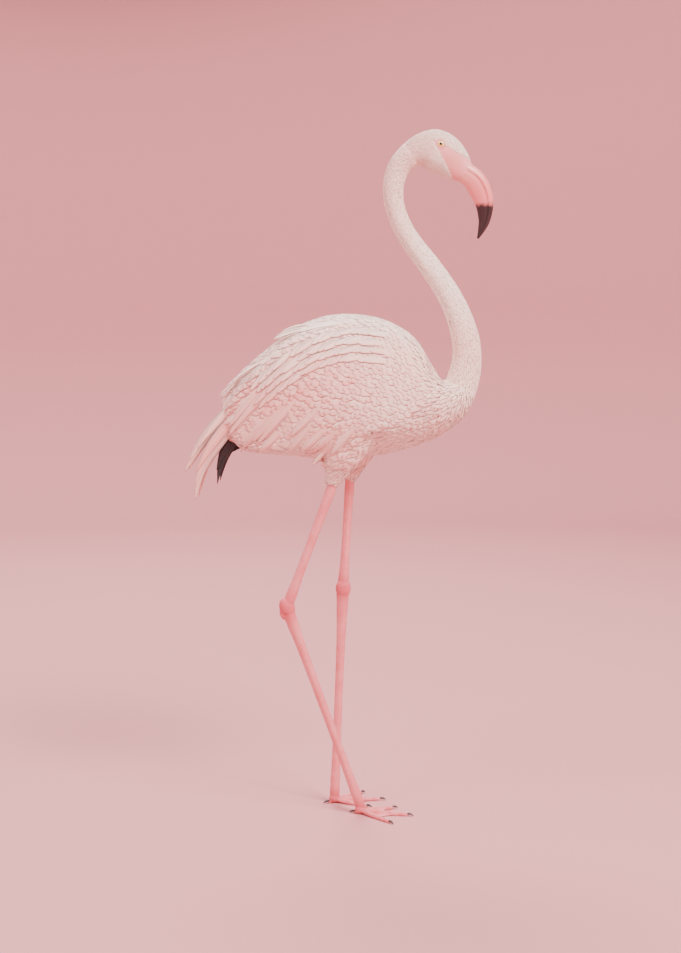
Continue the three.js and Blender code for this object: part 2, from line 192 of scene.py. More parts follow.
def noise(tree, scale, detail=2.0):
    """Noise on the piece's own coordinates."""
    return node(tree, "TexNoise", {"Scale": scale, "Detail": detail, "Vector": own_place(tree)})["Fac"]


def bump(tree, height, strength, distance):
    """A Bump node, ready for a shader's Normal."""
    return node(tree, "Bump", {"Strength": strength, "Distance": distance, "Height": height})["Normal"]


# %% [markdown]
# Skin and feathers have to carry the same flush, so both get it from one node group. It turns `flush`
# into a colour between cream and rose and breaks it up a little, as plumage is never one even tint.

# %% Group: the plumage's flush
CREAM = (0.93, 0.83, 0.72)
BLUSH = (0.92, 0.60, 0.52)
ROSE = (0.84, 0.24, 0.22)
MOTTLE = 0.16  # how far the flush wanders from its even value, in all


def new_group(name, inlets, outlets):
    """An empty node group, the numbers that go in and the sockets (name: kind) that come out."""
    group = bpy.data.node_groups.new(name, "ShaderNodeTree")
    for title in inlets:
        group.interface.new_socket(title, in_out="INPUT", socket_type="NodeSocketFloat")
    for title, kind in outlets.items():
        group.interface.new_socket(title, in_out="OUTPUT", socket_type="NodeSocket" + kind)
    return group, group.nodes.new("NodeGroupInput").outputs, group.nodes.new("NodeGroupOutput").inputs


def make_flush_group():
    """Flush (0 cream to 1 rose) and Shade (lighter or darker) to a plumage colour."""
    group, inlet, outlet = new_group("plumage_flush", ("Flush", "Shade"), {"Colour": "Color"})
    mottle = maths(group, "MULTIPLY_ADD", noise(group, 38.0, 3.0), MOTTLE, -MOTTLE / 2)
    flush = maths(group, "ADD", inlet["Flush"], mottle, clamp=True)
    pale = mix(group, ramp(group, flush, 0.0, 0.5), CREAM, BLUSH)
    rosy = mix(group, ramp(group, flush, 0.4, 1.0), pale, ROSE)
    light = maths(group, "ADD", inlet["Shade"], 1.0)
    feed(outlet["Colour"], node(group, "VectorMath", {"Vector": rosy, "Scale": light}, operation="SCALE")[0])
    return group


FLUSH_GROUP = make_flush_group()
print("flush group:", len(FLUSH_GROUP.nodes), "nodes")


def flushed(tree, flush, shade):
    """The plumage's colour for that flush and shade."""
    return node(tree, "Group", node_tree=FLUSH_GROUP, sockets={"Flush": flush, "Shade": shade})["Colour"]


# %% [markdown]
# A vane is hundreds of barbs that leave the shaft at a slant. At arm's length they show as fine slanting
# lines, and the shaft as a thin pale ridge. This group works both out from the `vane` map, and every
# feather finish uses it.

# %% Group: shaft and barbs of a vane
BARB_SLANT = 0.16
SHAFT_WIDTH = 0.14  # share of the half width
OUTPUTS = ("Height", "Shaft", "Edge", "Along")


def make_vane_group():
    """Barbs per length in; a height for bump, how near the shaft, how near the edge and how far along out."""
    group, inlet, outlet = new_group("vane_detail", ["Barbs"], dict.fromkeys(OUTPUTS, "Float"))
    place = node(group, "SeparateXYZ", {"Vector": node(group, "UVMap", uv_map="vane")["UV"]})
    out = maths(group, "ABSOLUTE", maths(group, "MULTIPLY_ADD", place["X"], 2.0, -1.0))
    slant = maths(group, "SUBTRACT", place["Y"], maths(group, "MULTIPLY", out, BARB_SLANT))
    wave = maths(group, "SINE", maths(group, "MULTIPLY", slant, inlet["Barbs"]))
    shaft = ramp(group, out, 0.0, SHAFT_WIDTH, 1.0, 0.0)
    height = maths(group, "ADD", maths(group, "MULTIPLY", wave, 0.5), maths(group, "MULTIPLY", shaft, 1.6))
    for title, value in zip(OUTPUTS, (height, shaft, ramp(group, out, 0.55, 1.0), place["Y"])):
        feed(outlet[title], value)
    return group


VANE_GROUP = make_vane_group()
print("vane group:", len(VANE_GROUP.nodes), "nodes")


def vane_detail(tree, barbs):
    """The vane group placed in a material."""
    return node(tree, "Group", node_tree=VANE_GROUP, sockets={"Barbs": barbs})


# %% [markdown]
# Feathers on the head are too small to show barbs, and the long plumes show hundreds. So one function
# paints every feather from its number of barbs, the shadow at its root, the light at its edge and its
# sheen, and the black flight feathers share its shaft and relief.

# %% Feather finishes
VANE_RELIEF = 0.0003  # metres


def finish(name, paint, *values):
    """A material: paint(tree, *values) gives what goes into its Principled shader, by the inputs' names."""
    material = bpy.data.materials.new(name)
    material.use_nodes = True
    tree = material.node_tree
    for socket, value in paint(tree, *values).items():
        feed(tree.nodes["Principled BSDF"].inputs[socket], value)
    return material


def shafted(tree, vane, base, share, shaft_tint, rough, relief):
    """What every vane has: a paler shaft, barbs that shine less than the shaft, and both in the bump."""
    return {
        "Base Color": mix(tree, maths(tree, "MULTIPLY", vane["Shaft"], share), base, shaft_tint),
        "Roughness": ramp(tree, vane["Height"], -0.5, 1.5, *rough),
        "Normal": bump(tree, vane["Height"], relief, VANE_RELIEF),
    }


def plumage(tree, barbs, root_shadow, edge_light, sheen):
    """Cream to rose feathers: a painted shadow at the root and painted shade between the barbs, paler at the
    edge, with shaft and barbs in the bump.
    """
    vane = vane_detail(tree, barbs)
    base = flushed(tree, attribute(tree, "flush"), attribute(tree, "shade"))
    # Painted shadow: each feather's colour darkens towards its root, where the feathers above would shade it.
    dimmed = ramp(tree, vane["Along"], 0.0, 0.55, root_shadow, 0.0)
    shaded_base = mix(tree, dimmed, base, (0.72, 0.50, 0.44), "MULTIPLY")
    # Painted shade: the colour darkens where the barbs' relief is low, in the grooves between them.
    barb_groove_shade = ramp(tree, vane["Height"], -0.5, 0.5, 0.22, 0.0)
    shaded_base = mix(tree, barb_groove_shade, shaded_base, (0.80, 0.64, 0.58), "MULTIPLY")
    edge = maths(tree, "MULTIPLY", vane["Edge"], edge_light)
    pale = mix(tree, edge, shaded_base, (0.95, 0.86, 0.78))
    painted = shafted(tree, vane, pale, 0.35, (0.93, 0.78, 0.68), (0.82, 0.62), 0.35)
    return {**painted, "Sheen Weight": sheen, "Sheen Roughness": 0.5, "Specular IOR Level": 0.3}


def black_vane(tree):
    """Black flight feathers, a shade browner along the edge."""
    vane = vane_detail(tree, 520.0)
    worn = mix(tree, vane["Edge"], (0.012, 0.011, 0.012), (0.035, 0.028, 0.028))
    return shafted(tree, vane, worn, 0.5, (0.06, 0.05, 0.05), (0.6, 0.42), 0.5)


DOWN = finish("velvet_down", plumage, 40.0, 0.08, 0.12, 0.3)
CONTOUR = finish("contour_feathers", plumage, 110.0, 0.22, 0.3, 0.25)
COVERT = finish("wing_coverts", plumage, 150.0, 0.22, 0.3, 0.2)
LONG_PLUME = finish("long_plumes", plumage, 300.0, 0.35, 0.4, 0.2)
FLIGHT = finish("flight_feathers", black_vane)
print("feather finishes:", [m.name for m in (DOWN, CONTOUR, COVERT, LONG_PLUME, FLIGHT)])

# %% [markdown]
# The skin under the feathers shows only in chinks, but round the eye and in front of it the flamingo is
# bare: pink, finely wrinkled skin. One material does both, and the `bare` attribute says where the
# feathers stop. The legs are bare too, with small scales between the broad plates.

# %% Skin and leg finishes
BARE_PINK = (0.82, 0.30, 0.29)


def body_skin(tree):
    """Flushed like the feathers where it is feathered, and pink and wrinkled where it is bare."""
    bare = attribute(tree, "bare")
    feathered = flushed(tree, attribute(tree, "flush"), -0.08)
    creases = noise(tree, 900.0, 4.0)
    flesh = mix(tree, maths(tree, "MULTIPLY", creases, 0.5), BARE_PINK, (0.62, 0.22, 0.22))
    return {
        "Base Color": mix(tree, bare, feathered, flesh),
        "Roughness": ramp(tree, bare, 0.0, 1.0, 0.85, 0.5),
        "Normal": bump(tree, creases, 0.3, 0.0004),
    }


def leg_skin(tree):
    """Pink leg skin with fine scales in its relief and painted shade in the grooves between them, darker and
    redder in the joints.
    """
    stretch = node(tree, "Mapping", {"Vector": own_place(tree), "Scale": (1.0, 1.0, 0.62)})["Vector"]
    cells = node(tree, "TexVoronoi", feature="DISTANCE_TO_EDGE", sockets={"Scale": 420.0, "Vector": stretch})
    plates = ramp(tree, cells["Distance"], 0.0, 0.16)
    patchy = ramp(tree, noise(tree, 45.0, 3.0), 0.35, 0.7)
    base = mix(tree, patchy, (0.82, 0.27, 0.28), (0.78, 0.20, 0.22))
    jointed = mix(tree, attribute(tree, "joint"), base, (0.62, 0.08, 0.11))
    # Painted shade: the colour darkens in the grooves between the scales.
    groove_shade = ramp(tree, plates, 0.0, 1.0, 0.35, 0.0)
    return {
        "Base Color": mix(tree, groove_shade, jointed, (0.50, 0.10, 0.12)),
        "Roughness": ramp(tree, plates, 0.0, 1.0, 0.7, 0.46),
        "Normal": bump(tree, plates, 0.55, 0.0005),
        "Subsurface Weight": 0.08,
        "Subsurface Radius": (0.006, 0.002, 0.0015),
    }


SKIN = finish("body_skin", body_skin)
LEG = finish("scaly_leg", leg_skin)
print("bare finishes:", SKIN.name, LEG.name)

# %% [markdown]
# The bill and the claws are horn, which is smooth and hard, so its grain is faint. The eye is glossier
# than anything else on the bird: a clear coat stands for its wet surface, and iris, pupil and rim are
# rings round the eye's own axis.

# %% Bill, claw and eye finishes
BLACK_TIP = (0.60, 0.66)  # share of the bill's length where pink turns black
PUPIL = (2.5, 2.8)  # millimetres from the axis, sharp inner and outer edge
EYE_RIM = (4.9, 6.0)


def bill_horn(tree):
    """Pink horn that turns black past the bend; `tip` runs from 0 at the face to 1 at the point."""
    ragged = maths(tree, "MULTIPLY_ADD", noise(tree, 160.0), 0.05, -0.025)
    tip = maths(tree, "ADD", attribute(tree, "tip"), ragged)
    pink = mix(tree, ramp(tree, tip, 0.0, 0.5), (0.86, 0.42, 0.38), (0.80, 0.21, 0.21))
    black = mix(tree, ramp(tree, tip, *BLACK_TIP), pink, (0.008, 0.007, 0.008))
    grain = noise(tree, 500.0, 3.0)
    streak = maths(tree, "MULTIPLY", grain, 0.12)
    return {
        "Base Color": mix(tree, streak, black, (0.3, 0.12, 0.12)),
        "Roughness": ramp(tree, grain, 0.3, 0.7, 0.3, 0.42),
        "Normal": bump(tree, grain, 0.15, 0.0003),
    }


def claw_horn(tree):
    """Dark horn, paler where it wears."""
    worn = ramp(tree, noise(tree, 300.0), 0.4, 0.75)
    base = mix(tree, worn, (0.03, 0.022, 0.024), (0.09, 0.06, 0.055))
    return {"Base Color": base, "Roughness": ramp(tree, worn, 0.0, 1.0, 0.35, 0.55)}


def wet_eye(tree):
    """Pale yellow iris with fine rays, a round black pupil and a dark rim."""
    offset = vector_maths(tree, "SUBTRACT", own_place(tree), at(EYE[0], 0, EYE[2]))["Vector"]
    flat = vector_maths(tree, "MULTIPLY", offset, (1.0, 0.0, 1.0))["Vector"]
    out = maths(tree, "MULTIPLY", vector_maths(tree, "LENGTH", flat)["Value"], 1 / MM)
    rays = ramp(tree, noise(tree, 1400.0), 0.35, 0.65)
    iris = mix(tree, rays, (0.84, 0.55, 0.10), (0.92, 0.74, 0.26))
    rimmed = mix(tree, ramp(tree, out, *EYE_RIM), iris, (0.10, 0.03, 0.02))
    pupil = ramp(tree, out, *PUPIL, 1.0, 0.0)
    return {
        "Base Color": mix(tree, pupil, rimmed, (0.004, 0.004, 0.004)),
        "Roughness": 0.12,
        "Coat Weight": 1.0,
        "Coat Roughness": 0.03,
    }


BILL = finish("bill_horn", bill_horn)
CLAW = finish("claw_horn", claw_horn)
IRIS = finish("eye_gloss", wet_eye)
print("horn and eye finishes:", [m.name for m in (BILL, CLAW, IRIS)])

# %% [markdown]
# ## From a bmesh to a piece
# Every finished piece sits at the origin with its place in its mesh, is shaded smooth, rides on the bird
# and hides the frame's parts that it stands for.

# %% Finish a mesh as a piece
def placed(name, data):
    """A new object in the scene."""
    made = bpy.data.objects.new(name, data)
    bpy.context.scene.collection.objects.link(made)
    return made


def dressed(mesh, material):
    """A mesh as an object, shaded smooth in one material."""
    mesh.polygons.foreach_set("use_smooth", np.ones(len(mesh.polygons), dtype=bool))
    mesh.materials.clear()
    mesh.materials.append(material)
    return placed(mesh.name, mesh)


def settle(mesh, material, slot, replaces=()):
    """Makes a mesh a piece of the bird."""
    made = dressed(mesh, material)
    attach(made, "root")
    if replaces:
        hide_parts(*replaces)
    print(mesh.name, "-", len(mesh.polygons), "faces")


def mesh_of(name, bm):
    """A bmesh as a new mesh."""
    mesh = bpy.data.meshes.new(name)
    bm.to_mesh(mesh)
    bm.free()
    return mesh


def bmesh_of(mesh):
    """A mesh as a new bmesh."""
    bm = bmesh.new()
    bm.from_mesh(mesh)
    return bm


def set_numbers(mesh, name, values):
    """Stores one number for each vertex of a mesh."""
    made = mesh.attributes.new(name, "FLOAT", "POINT")
    made.data.foreach_set("value", np.asarray(values, np.float32))


def rows_of(items, name, width, kind):
    """What every item of a mesh holds under a name, as rows of an array."""
    values = np.empty(len(items) * width, kind)
    items.foreach_get(name, values)
    return values.reshape(-1, width)


def places_of(mesh):
    """All vertex places of a mesh as an array."""
    return rows_of(mesh.vertices, "co", 3, np.float32).astype(float)


def smoothed(bm, verts):
    """Moves each vertex half way to the middle of its neighbours."""
    bmesh.ops.smooth_vert(bm, verts=verts, factor=0.5, use_axis_x=True, use_axis_y=True, use_axis_z=True)


# %% [markdown]
# ## One skin
# The frame's flesh comes as separate solids with thin cuts between them. To get one skin with no seam,
# copies of them are fused with Blender's voxel remesher, relaxed until the cuts and facets are gone, and
# drawn inwards by the depth of the coat: deep on the body, shallow on the neck, next to nothing on the
# face. Boolean unions would keep every facet, and sculpting by hand couldn't be repeated by a script.

# %% Copies, hulls and the fuse
MERGED = 1e-7  # metres: corners nearer than this are one


def poured(bm, patch):
    """Moves everything in a bmesh over into another."""
    part = mesh_of("patch", patch)
    bm.from_mesh(part)
    bpy.data.meshes.remove(part)


def copied(bm, node_name, cut_at=None, cut_towards=None):
    """Adds a copy of one of the frame's parts, cut off and closed past a plane if one is given."""
    patch = bmesh_of(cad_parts[node_name].data)
    bmesh.ops.remove_doubles(patch, verts=patch.verts, dist=MERGED)
    if cut_at is not None:
        everything = patch.verts[:] + patch.edges[:] + patch.faces[:]
        bmesh.ops.bisect_plane(
            patch, geom=everything, plane_co=cut_at, plane_no=cut_towards, clear_outer=True
        )
        bmesh.ops.holes_fill(patch, edges=patch.edges, sides=0)
    poured(bm, patch)


def filled(bm, nodes, within):
    """Adds the hull of those corners of the frame's parts that lie within (x low, x high, z low, z high)."""
    patch = bmesh.new()
    for name in nodes:
        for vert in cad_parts[name].data.vertices:
            x, z = (vert.co.x - ZERO_X) / MM, vert.co.z / MM
            if within[0] < x < within[1] and within[2] < z < within[3]:
                bmesh.ops.create_vert(patch, co=vert.co)
    bmesh.ops.convex_hull(patch, input=patch.verts)
    loose = [vert for vert in patch.verts if not vert.link_faces]
    bmesh.ops.delete(patch, geom=loose, context="VERTS")
    bmesh.ops.recalc_face_normals(patch, faces=patch.faces)
    poured(bm, patch)


def fused(name, bm, voxel):
    """Closed shapes in a bmesh melted into one closed surface of even quads."""
    rough = placed("rough", mesh_of("rough", bm))
    melt = rough.modifiers.new("melt", "REMESH")
    melt.mode = "VOXEL"
    melt.voxel_size = voxel
    graph = bpy.context.evaluated_depsgraph_get()
    made = bpy.data.meshes.new_from_object(rough.evaluated_get(graph))
    made.name = name
    old = rough.data
    bpy.data.objects.remove(rough)
    bpy.data.meshes.remove(old)
    return made


# %% [markdown]
# Of the bill, the tail and the hanging feathers only the roots are copied, so that they grow out of
# flesh. Beside the wings' edges the solids leave hollows, and a hull of the nearest corners fills each.

# %% Fuse copies of the flesh
SKIN_VOXEL = 2.7 * MM
FLESH = ["trunk", "neck_base", "neck_lower", "neck_upper", "head"]
FLESH += [f"{part}_{side}" for part in ("wing", "thigh") for side in SIDES]
FACE_END, FACE_AHEAD = at(223, 0, 1114), Vector((9, 0, -8)).normalized()
BODY_REAR, TAIL_ROOT = at(-150, 0, 700), at(-200, 0, 700)
BACKWARDS = Vector((-1, 0, 0))
# x low and high, z low and high of each hollow
HOLLOWS = ((-230, -100, 0, 900), (-130, 60, 0, 690), (40, 150, 0, 705), (-130, 166, 765, 900))

flesh = bmesh.new()
for name in FLESH:
    copied(flesh, name)
for name in ("bill_upper", "bill_lower"):
    copied(flesh, name, FACE_END, FACE_AHEAD)
for side in SIDES:
    copied(flesh, f"eye_{side}")
    for name in ("tertials", "primaries"):
        copied(flesh, f"{name}_{side}", BODY_REAR, BACKWARDS)
copied(flesh, "tail", TAIL_ROOT, BACKWARDS)
for within in HOLLOWS:
    filled(flesh, ("trunk", "wing_right", "wing_left"), within)
skin_mesh = fused("skin", flesh, SKIN_VOXEL)
print("fused skin:", len(skin_mesh.polygons), "faces")

# %% [markdown]
# Relaxing moves every point towards the middle of its neighbours, again and again. A share for each point
# says how far, so that the trunk's cuts and facets melt away while the thighs, the neck's foot and the
# head keep their form. It also shrinks the shape, so the broad part of what it took away is given back.

# %% Relax the skin
RELAX_ROUNDS = 180
GIVE_BACK_ROUNDS = 90
GIVE_BACK_SHARE = 0.48
NECK_CREASE = (186, 772)
BILL_ROOT = (216, 1126)


def relaxed(places, edges, share, rounds):
    """Moves every point again and again by its own share of the way to the middle of its neighbours."""
    count = len(places)
    first, second = edges[:, 0], edges[:, 1]
    neighbours = np.bincount(np.concatenate([first, second]), minlength=count)[:, None]
    for _ in range(rounds):
        sums = [
            np.bincount(first, column[second], count) + np.bincount(second, column[first], count)
            for column in places.T
        ]
        places = places + share[:, None] * (np.stack(sums, -1) / neighbours - places)
    return places


def relax_share(places):
    """Strong on the trunk, where the wings' edges must go, a little at the bill's root, slight elsewhere."""
    x, z = side_view(places).T
    thighs = (1 - soft_step(z, 626, 652)) * soft_step(x, -75, -45)
    neck_foot = soft_step(z, 790, 850) * soft_step(x, 120, 180)
    trunk = (1 - thighs) * (1 - neck_foot) * (1 - soft_step(z, 884, 892))
    trunk *= 0.25 + 0.75 * soft_step(np.hypot(x - NECK_CREASE[0], z - NECK_CREASE[1]), 14, 36)
    muzzle = 1 - soft_step(np.hypot(x - BILL_ROOT[0], z - BILL_ROOT[1]), 14, 26)
    return 0.04 + 0.44 * trunk + 0.06 * muzzle


skin_edges = rows_of(skin_mesh.edges, "vertices", 2, np.int32)
rough_places = places_of(skin_mesh)
soft_places = relaxed(rough_places, skin_edges, relax_share(rough_places), RELAX_ROUNDS)
even_share = np.full(len(soft_places), GIVE_BACK_SHARE)
soft_places += relaxed(rough_places - soft_places, skin_edges, even_share, GIVE_BACK_ROUNDS)
skin_mesh.vertices.foreach_set("co", soft_places.astype(np.float32).reshape(-1))
print("relaxing moved the skin by up to", round(np.abs(soft_places - rough_places).max() / MM, 1), "mm")

# %% [markdown]
# The head is bare from the eye to the bill, in a wedge with a straight brow and a straight cheek, and in
# a ring round the eye. Bare skin lies close under the solid's face. Behind the neck's foot a narrow slit
# runs down between neck and shoulders, and there the flesh lies deeper.

# %% Draw the skin in by the coat's depth
# Height above the floor, depth of the coat there
COAT_DEPTH = np.array([
    (570, 1.8), (640, 2.0), (720, 1.6), (790, 1.2), (860, 0.9), (1080, 0.7), (1125, 0.5), (1200, 0.4),
])
FACE_DEPTH = 0.7
BROW = ((166, 1171), (229, 1139))
CHEEK = ((163, 1163), (199, 1098))
BARE_FROM = 1080  # height of the lowest bare skin
SLIT, SLIT_DEPTH, SLIT_REACH, SLIT_BREADTH = (178, 764), 8.5, 7.5, 19


def beyond(side_places, start, end):
    """How far places lie to the right of the line from start to end, seen from the side (millimetres)."""
    way_x, way_z = end[0] - start[0], end[1] - start[1]
    long = math.hypot(way_x, way_z)
    return ((side_places[..., 0] - start[0]) * way_z - (side_places[..., 1] - start[1]) * way_x) / long


def bareness(side_places):
    """How bare the head is: 1 before and round the eye, 0 where feathered."""
    inside = np.minimum(beyond(side_places, *BROW), -beyond(side_places, *CHEEK))
    wedge = soft_step(inside, -0.8, 2.2)
    to_eye = np.hypot(side_places[..., 0] - EYE[0], side_places[..., 1] - EYE[2])
    ring = 1 - soft_step(to_eye, 7.6, 9.6)
    return np.where(side_places[..., 1] > BARE_FROM, np.maximum(wedge, ring), 0.0)


def coat_depth(place):
    """The coat's depth in metres at a place on the skin."""
    x, z = side_view(np.array(place))
    depth = np.interp(z, COAT_DEPTH[:, 0], COAT_DEPTH[:, 1])
    in_slit = math.exp(-(((x - SLIT[0]) ** 2 + (z - SLIT[1]) ** 2) / (2 * SLIT_REACH**2)))
    depth += SLIT_DEPTH * in_slit * math.exp(-((place[1] / MM / SLIT_BREADTH) ** 4))
    bare = float(bareness(np.array([x, z])))
    return ((1 - bare) * depth + bare * FACE_DEPTH) * MM


bm = bmesh_of(skin_mesh)
bm.normal_update()
drawn_in = [vert.co - vert.normal * coat_depth(vert.co) for vert in bm.verts]
for vert, place in zip(bm.verts, drawn_in):
    vert.co = place
print("skin drawn in, lowest at z =", round(min(place.z for place in drawn_in), 3))

# %% [markdown]
# ## Lids and eyes
# The eye is a ball deep in the head, and only a cap of it shows. The lids are a soft thickened rim of
# skin that lies on the ball. The skin round each eye is first cut finer, then its points are moved: those
# over the ball sink behind it, the next ones make the rim, and a shallow crease runs round outside.

# %% Shape the lids
BALL = 8.3  # radius of the eyeball
LID = 5.7  # radius of the opening between the lids
LID_EDGE = 0.9  # how broad the turn from the ball to the rim is
LID_RISE = 0.8  # how far the rim stands over the ball
LID_BREADTH = 3.4
BEHIND_BALL = 2.2
FINER_WITHIN, SMOOTHED_WITHIN, SHAPED_WITHIN = (14.0, 11.5), 13.0, 12.5
EYE_AXIS = at(*EYE)
# Distance from the axis, width and depth of each crease
CREASES = ((8.2, 0.5, -0.35), (10.6, 0.7, -0.22))


def lid_height(out, skin_height):
    """How far from the bird's middle the skin lies, at a distance out from the eye's axis (millimetres)."""
    ball = EYE[1] + math.sqrt(max(BALL**2 - min(out, BALL * 0.98) ** 2, 0.0))
    if out < LID:
        share = max(out - LID + LID_EDGE, 0.0) / LID_EDGE
        return ball - BEHIND_BALL + (BEHIND_BALL + LID_RISE) * math.sqrt(share)
    share = float(soft_step(out, LID, LID + LID_BREADTH))
    rim = EYE[1] + math.sqrt(BALL**2 - LID**2) + LID_RISE - 0.12 * (out - LID) ** 2
    height = (1 - share) * rim + share * skin_height
    return height + sum(depth * bell(out, at_out, wide) for at_out, wide, depth in CREASES)


def from_eye(place):
    """How far a place is from the eyes' axis in millimetres."""
    return math.hypot(place.x - EYE_AXIS.x, place.z - EYE_AXIS.z) / MM


def near_eyes(bm, reach):
    """The faces within reach (millimetres) of either eye's axis, on the sides of the head."""
    middles = ((face, face.calc_center_median()) for face in bm.faces)
    return [face for face, middle in middles if abs(middle.y) > 12 * MM and from_eye(middle) < reach]


for reach in FINER_WITHIN:
    edges = {edge for face in near_eyes(bm, reach) for edge in face.edges}
    bmesh.ops.subdivide_edges(bm, edges=list(edges), cuts=1, use_grid_fill=True)
around_eye = {vert for face in near_eyes(bm, SMOOTHED_WITHIN) for vert in face.verts}
smoothed(bm, list(around_eye))
for vert in around_eye:
    out = from_eye(vert.co)
    if out < SHAPED_WITHIN:
        vert.co.y = math.copysign(lid_height(out, abs(vert.co.y) / MM) * MM, vert.co.y)
bmesh.ops.triangulate(bm, faces=[face for face in bm.faces if len(face.verts) > 4])
bmesh.ops.recalc_face_normals(bm, faces=bm.faces)
bm.normal_update()
SKIN_TREE = BVHTree.FromBMesh(bm)
bm.to_mesh(skin_mesh)
bm.free()
print("lids shaped over", len(around_eye), "points")

# %% [markdown]
# The flush of rose is strongest on the wing and fades over the body: the same rule colours skin and
# feathers.

# %% Where the plumage flushes
FLUSH_LEAST = 0.10
# Centre x, z, reach in x and z, strength
FLUSHES = (
    (30, 790, 150, 70, 0.42), (-90, 740, 140, 70, 0.50), (-220, 640, 90, 70, 0.55), (20, 650, 60, 60, 0.38),
    (150, 1165, 60, 40, 0.30), (100, 1080, 60, 90, 0.22), (215, 830, 40, 60, 0.20), (190, 720, 60, 50, 0.22),
)


def flush_at(side_places):
    """The plumage's flush, 0 cream to 1 rose, at places seen from the side (millimetres)."""
    left = np.full(side_places.shape[:-1], 1 - FLUSH_LEAST)
    for x, z, wide, high, strength in FLUSHES:
        far = ((side_places[..., 0] - x) / wide) ** 2 + ((side_places[..., 1] - z) / high) ** 2
        left = left * (1 - strength * np.exp(-far))
    return 1 - left


skin_side = side_view(places_of(skin_mesh))
set_numbers(skin_mesh, "flush", flush_at(skin_side))
set_numbers(skin_mesh, "bare", bareness(skin_side))
settle(skin_mesh, SKIN, "body_plumage", FLESH)

# %% [markdown]
# Both eyes are one piece. An eyeball isn't quite a ball: its clear front, the cornea, stands a little
# proud.

# %% Eyeballs
CORNEA_REACH, CORNEA_RISE = 5.0, 0.35


def eye_pair():
    """Both eyes in one mesh."""
    bm = bmesh.new()
    for side in SIDES.values():
        centre = at(EYE[0], side * EYE[1], EYE[2])
        turned = Matrix.Translation(centre) @ Matrix.Rotation(math.pi / 2, 4, "X")
        made = bmesh.ops.create_uvsphere(bm, u_segments=48, v_segments=32, radius=BALL * MM, matrix=turned)
        for vert in made["verts"]:
            out = from_eye(vert.co)
            if (vert.co.y - centre.y) * side > 0 and out < CORNEA_REACH:
                vert.co.y += side * CORNEA_RISE * MM * math.cos(out / CORNEA_REACH * math.pi / 2) ** 2
    return mesh_of("eyeballs", bm)


settle(eye_pair(), IRIS, "eye", ["eye_right", "eye_left"])

# %% [markdown]
# ## The bill
# A flamingo's bill bends down sharply halfway. The lower half is a deep trough and the upper half a thin
# lid on it, the other way about from most birds. Each half is a grid rolled into a tube along the bend,
# with a keel down the ridge, a groove with the slit nostril, and a swollen lip where the two meet.

# %% A grid rolled into a closed tube
def rolled(bm, around, along, place):
    """Adds a closed tube: place(turn, way) gives each corner its place, and both run from 0 to 1."""
    made = bmesh.ops.create_grid(bm, x_segments=around, y_segments=along, size=0.5)
    fresh = made["verts"]
    for vert in fresh:
        vert.co = place(vert.co.x + 0.5, vert.co.y + 0.5)
    bmesh.ops.remove_doubles(bm, verts=fresh, dist=MERGED)
    bmesh.ops.holes_fill(bm, edges=[edge for edge in bm.edges if edge.is_boundary], sides=0)
    bmesh.ops.recalc_face_normals(bm, faces=bm.faces)


# %% Both halves of the bill
# x, z on the lip line, then half sizes above and below it, wide above and below
BILL_ROWS = (
    (176, 1140, 9, 14, 9, 9),
    (194, 1135, 13.5, 20, 12, 12),
    (216, 1126, 13, 23, 12.4, 13),
    (237, 1112, 12, 27, 11.4, 14),
    (250, 1091, 11, 27.5, 10.2, 13.6),
    (255, 1067, 10, 22, 8.8, 11.4),
    (252.5, 1042, 8, 14.5, 6.8, 8.2),
    (246, 1024, 5.5, 8, 4.6, 5),
    (238.5, 1008, 1.5, 2.2, 1.5, 1.4),
)
BILL_SKIN = 0.25
LIP_GAP = 0.02
KEEL = 0.9


def upper_relief(across, way):
    """How far the upper bill's top dips beside its keel, and how deep its groove and nostril are."""
    keel = KEEL * bell(across, 0, 0.16) - KEEL
    groove = bell(abs(across), 0.46, 0.13) * (1 - way) * 1.5
    nostril = math.exp(-(((abs(across) - 0.5) / 0.06) ** 2) - ((way - 0.30) / 0.055) ** 4) * 1.8
    return keel, groove + nostril


def bill_place(half, turn, way):
    """A point on the upper (half = 1) or lower (-1) bill."""
    x, z, above, below, wide_above, wide_below = smooth_row(BILL_ROWS, way)
    ahead, behind = smooth_row(BILL_ROWS, way + 0.01), smooth_row(BILL_ROWS, way - 0.01)
    heading = math.atan2(ahead[1] - behind[1], ahead[0] - behind[0])
    depth = (above if half > 0 else below) - BILL_SKIN
    wide = (wide_above if half > 0 else wide_below) - BILL_SKIN
    across, rise = math.cos(turn * 2 * math.pi), math.sin(turn * 2 * math.pi)
    out = max(rise, 0.0) ** 0.8 * depth
    wide -= 0.7 * bell(rise, 0, 0.09) * min(1, wide / 6)
    if half < 0:
        wide -= 0.45 * (1 - bell(rise, 0.24, 0.16)) * min(1, wide / 6)
        wide -= 0.5 * bell(rise, 0.42, 0.07) * bell(way, 0.22, 0.12)
    elif rise > 0:
        dip, hollow = upper_relief(across, way)
        out += dip * min(1, depth / 6) - hollow * min(1, depth / 10)
    lip = half * (LIP_GAP + max(out, 0.0))
    return at(x - math.sin(heading) * lip, across * wide, z + math.cos(heading) * lip)


def bill_half(name, half, node_name):
    """One half of the bill as a piece, with `tip` running from the face to the point."""
    bm = bmesh.new()
    rolled(bm, around=64, along=124, place=lambda turn, way: bill_place(half, turn, way))
    mesh = mesh_of(name, bm)
    side = side_view(places_of(mesh))
    line = smooth_line(BILL_ROWS, 200)[:, :2]
    nearest = np.argmin(((side[:, None, :] - line[None]) ** 2).sum(-1), axis=1)
    set_numbers(mesh, "tip", nearest / (len(line) - 1))
    settle(mesh, BILL, "bill", [node_name])


bill_half("upper_mandible", 1, "bill_upper")
bill_half("lower_mandible", -1, "bill_lower")

# %% [markdown]
# ## Legs
# Each leg is one skin from inside the thigh down to the toes. The bones are rolled tubes that swell at
# the joints, the toes have a swelling at each knuckle, and the webs are thin sheets that sag between
# them. All of a leg is fused and relaxed like the body's skin, at a finer voxel, and pressed flat on the
# floor.

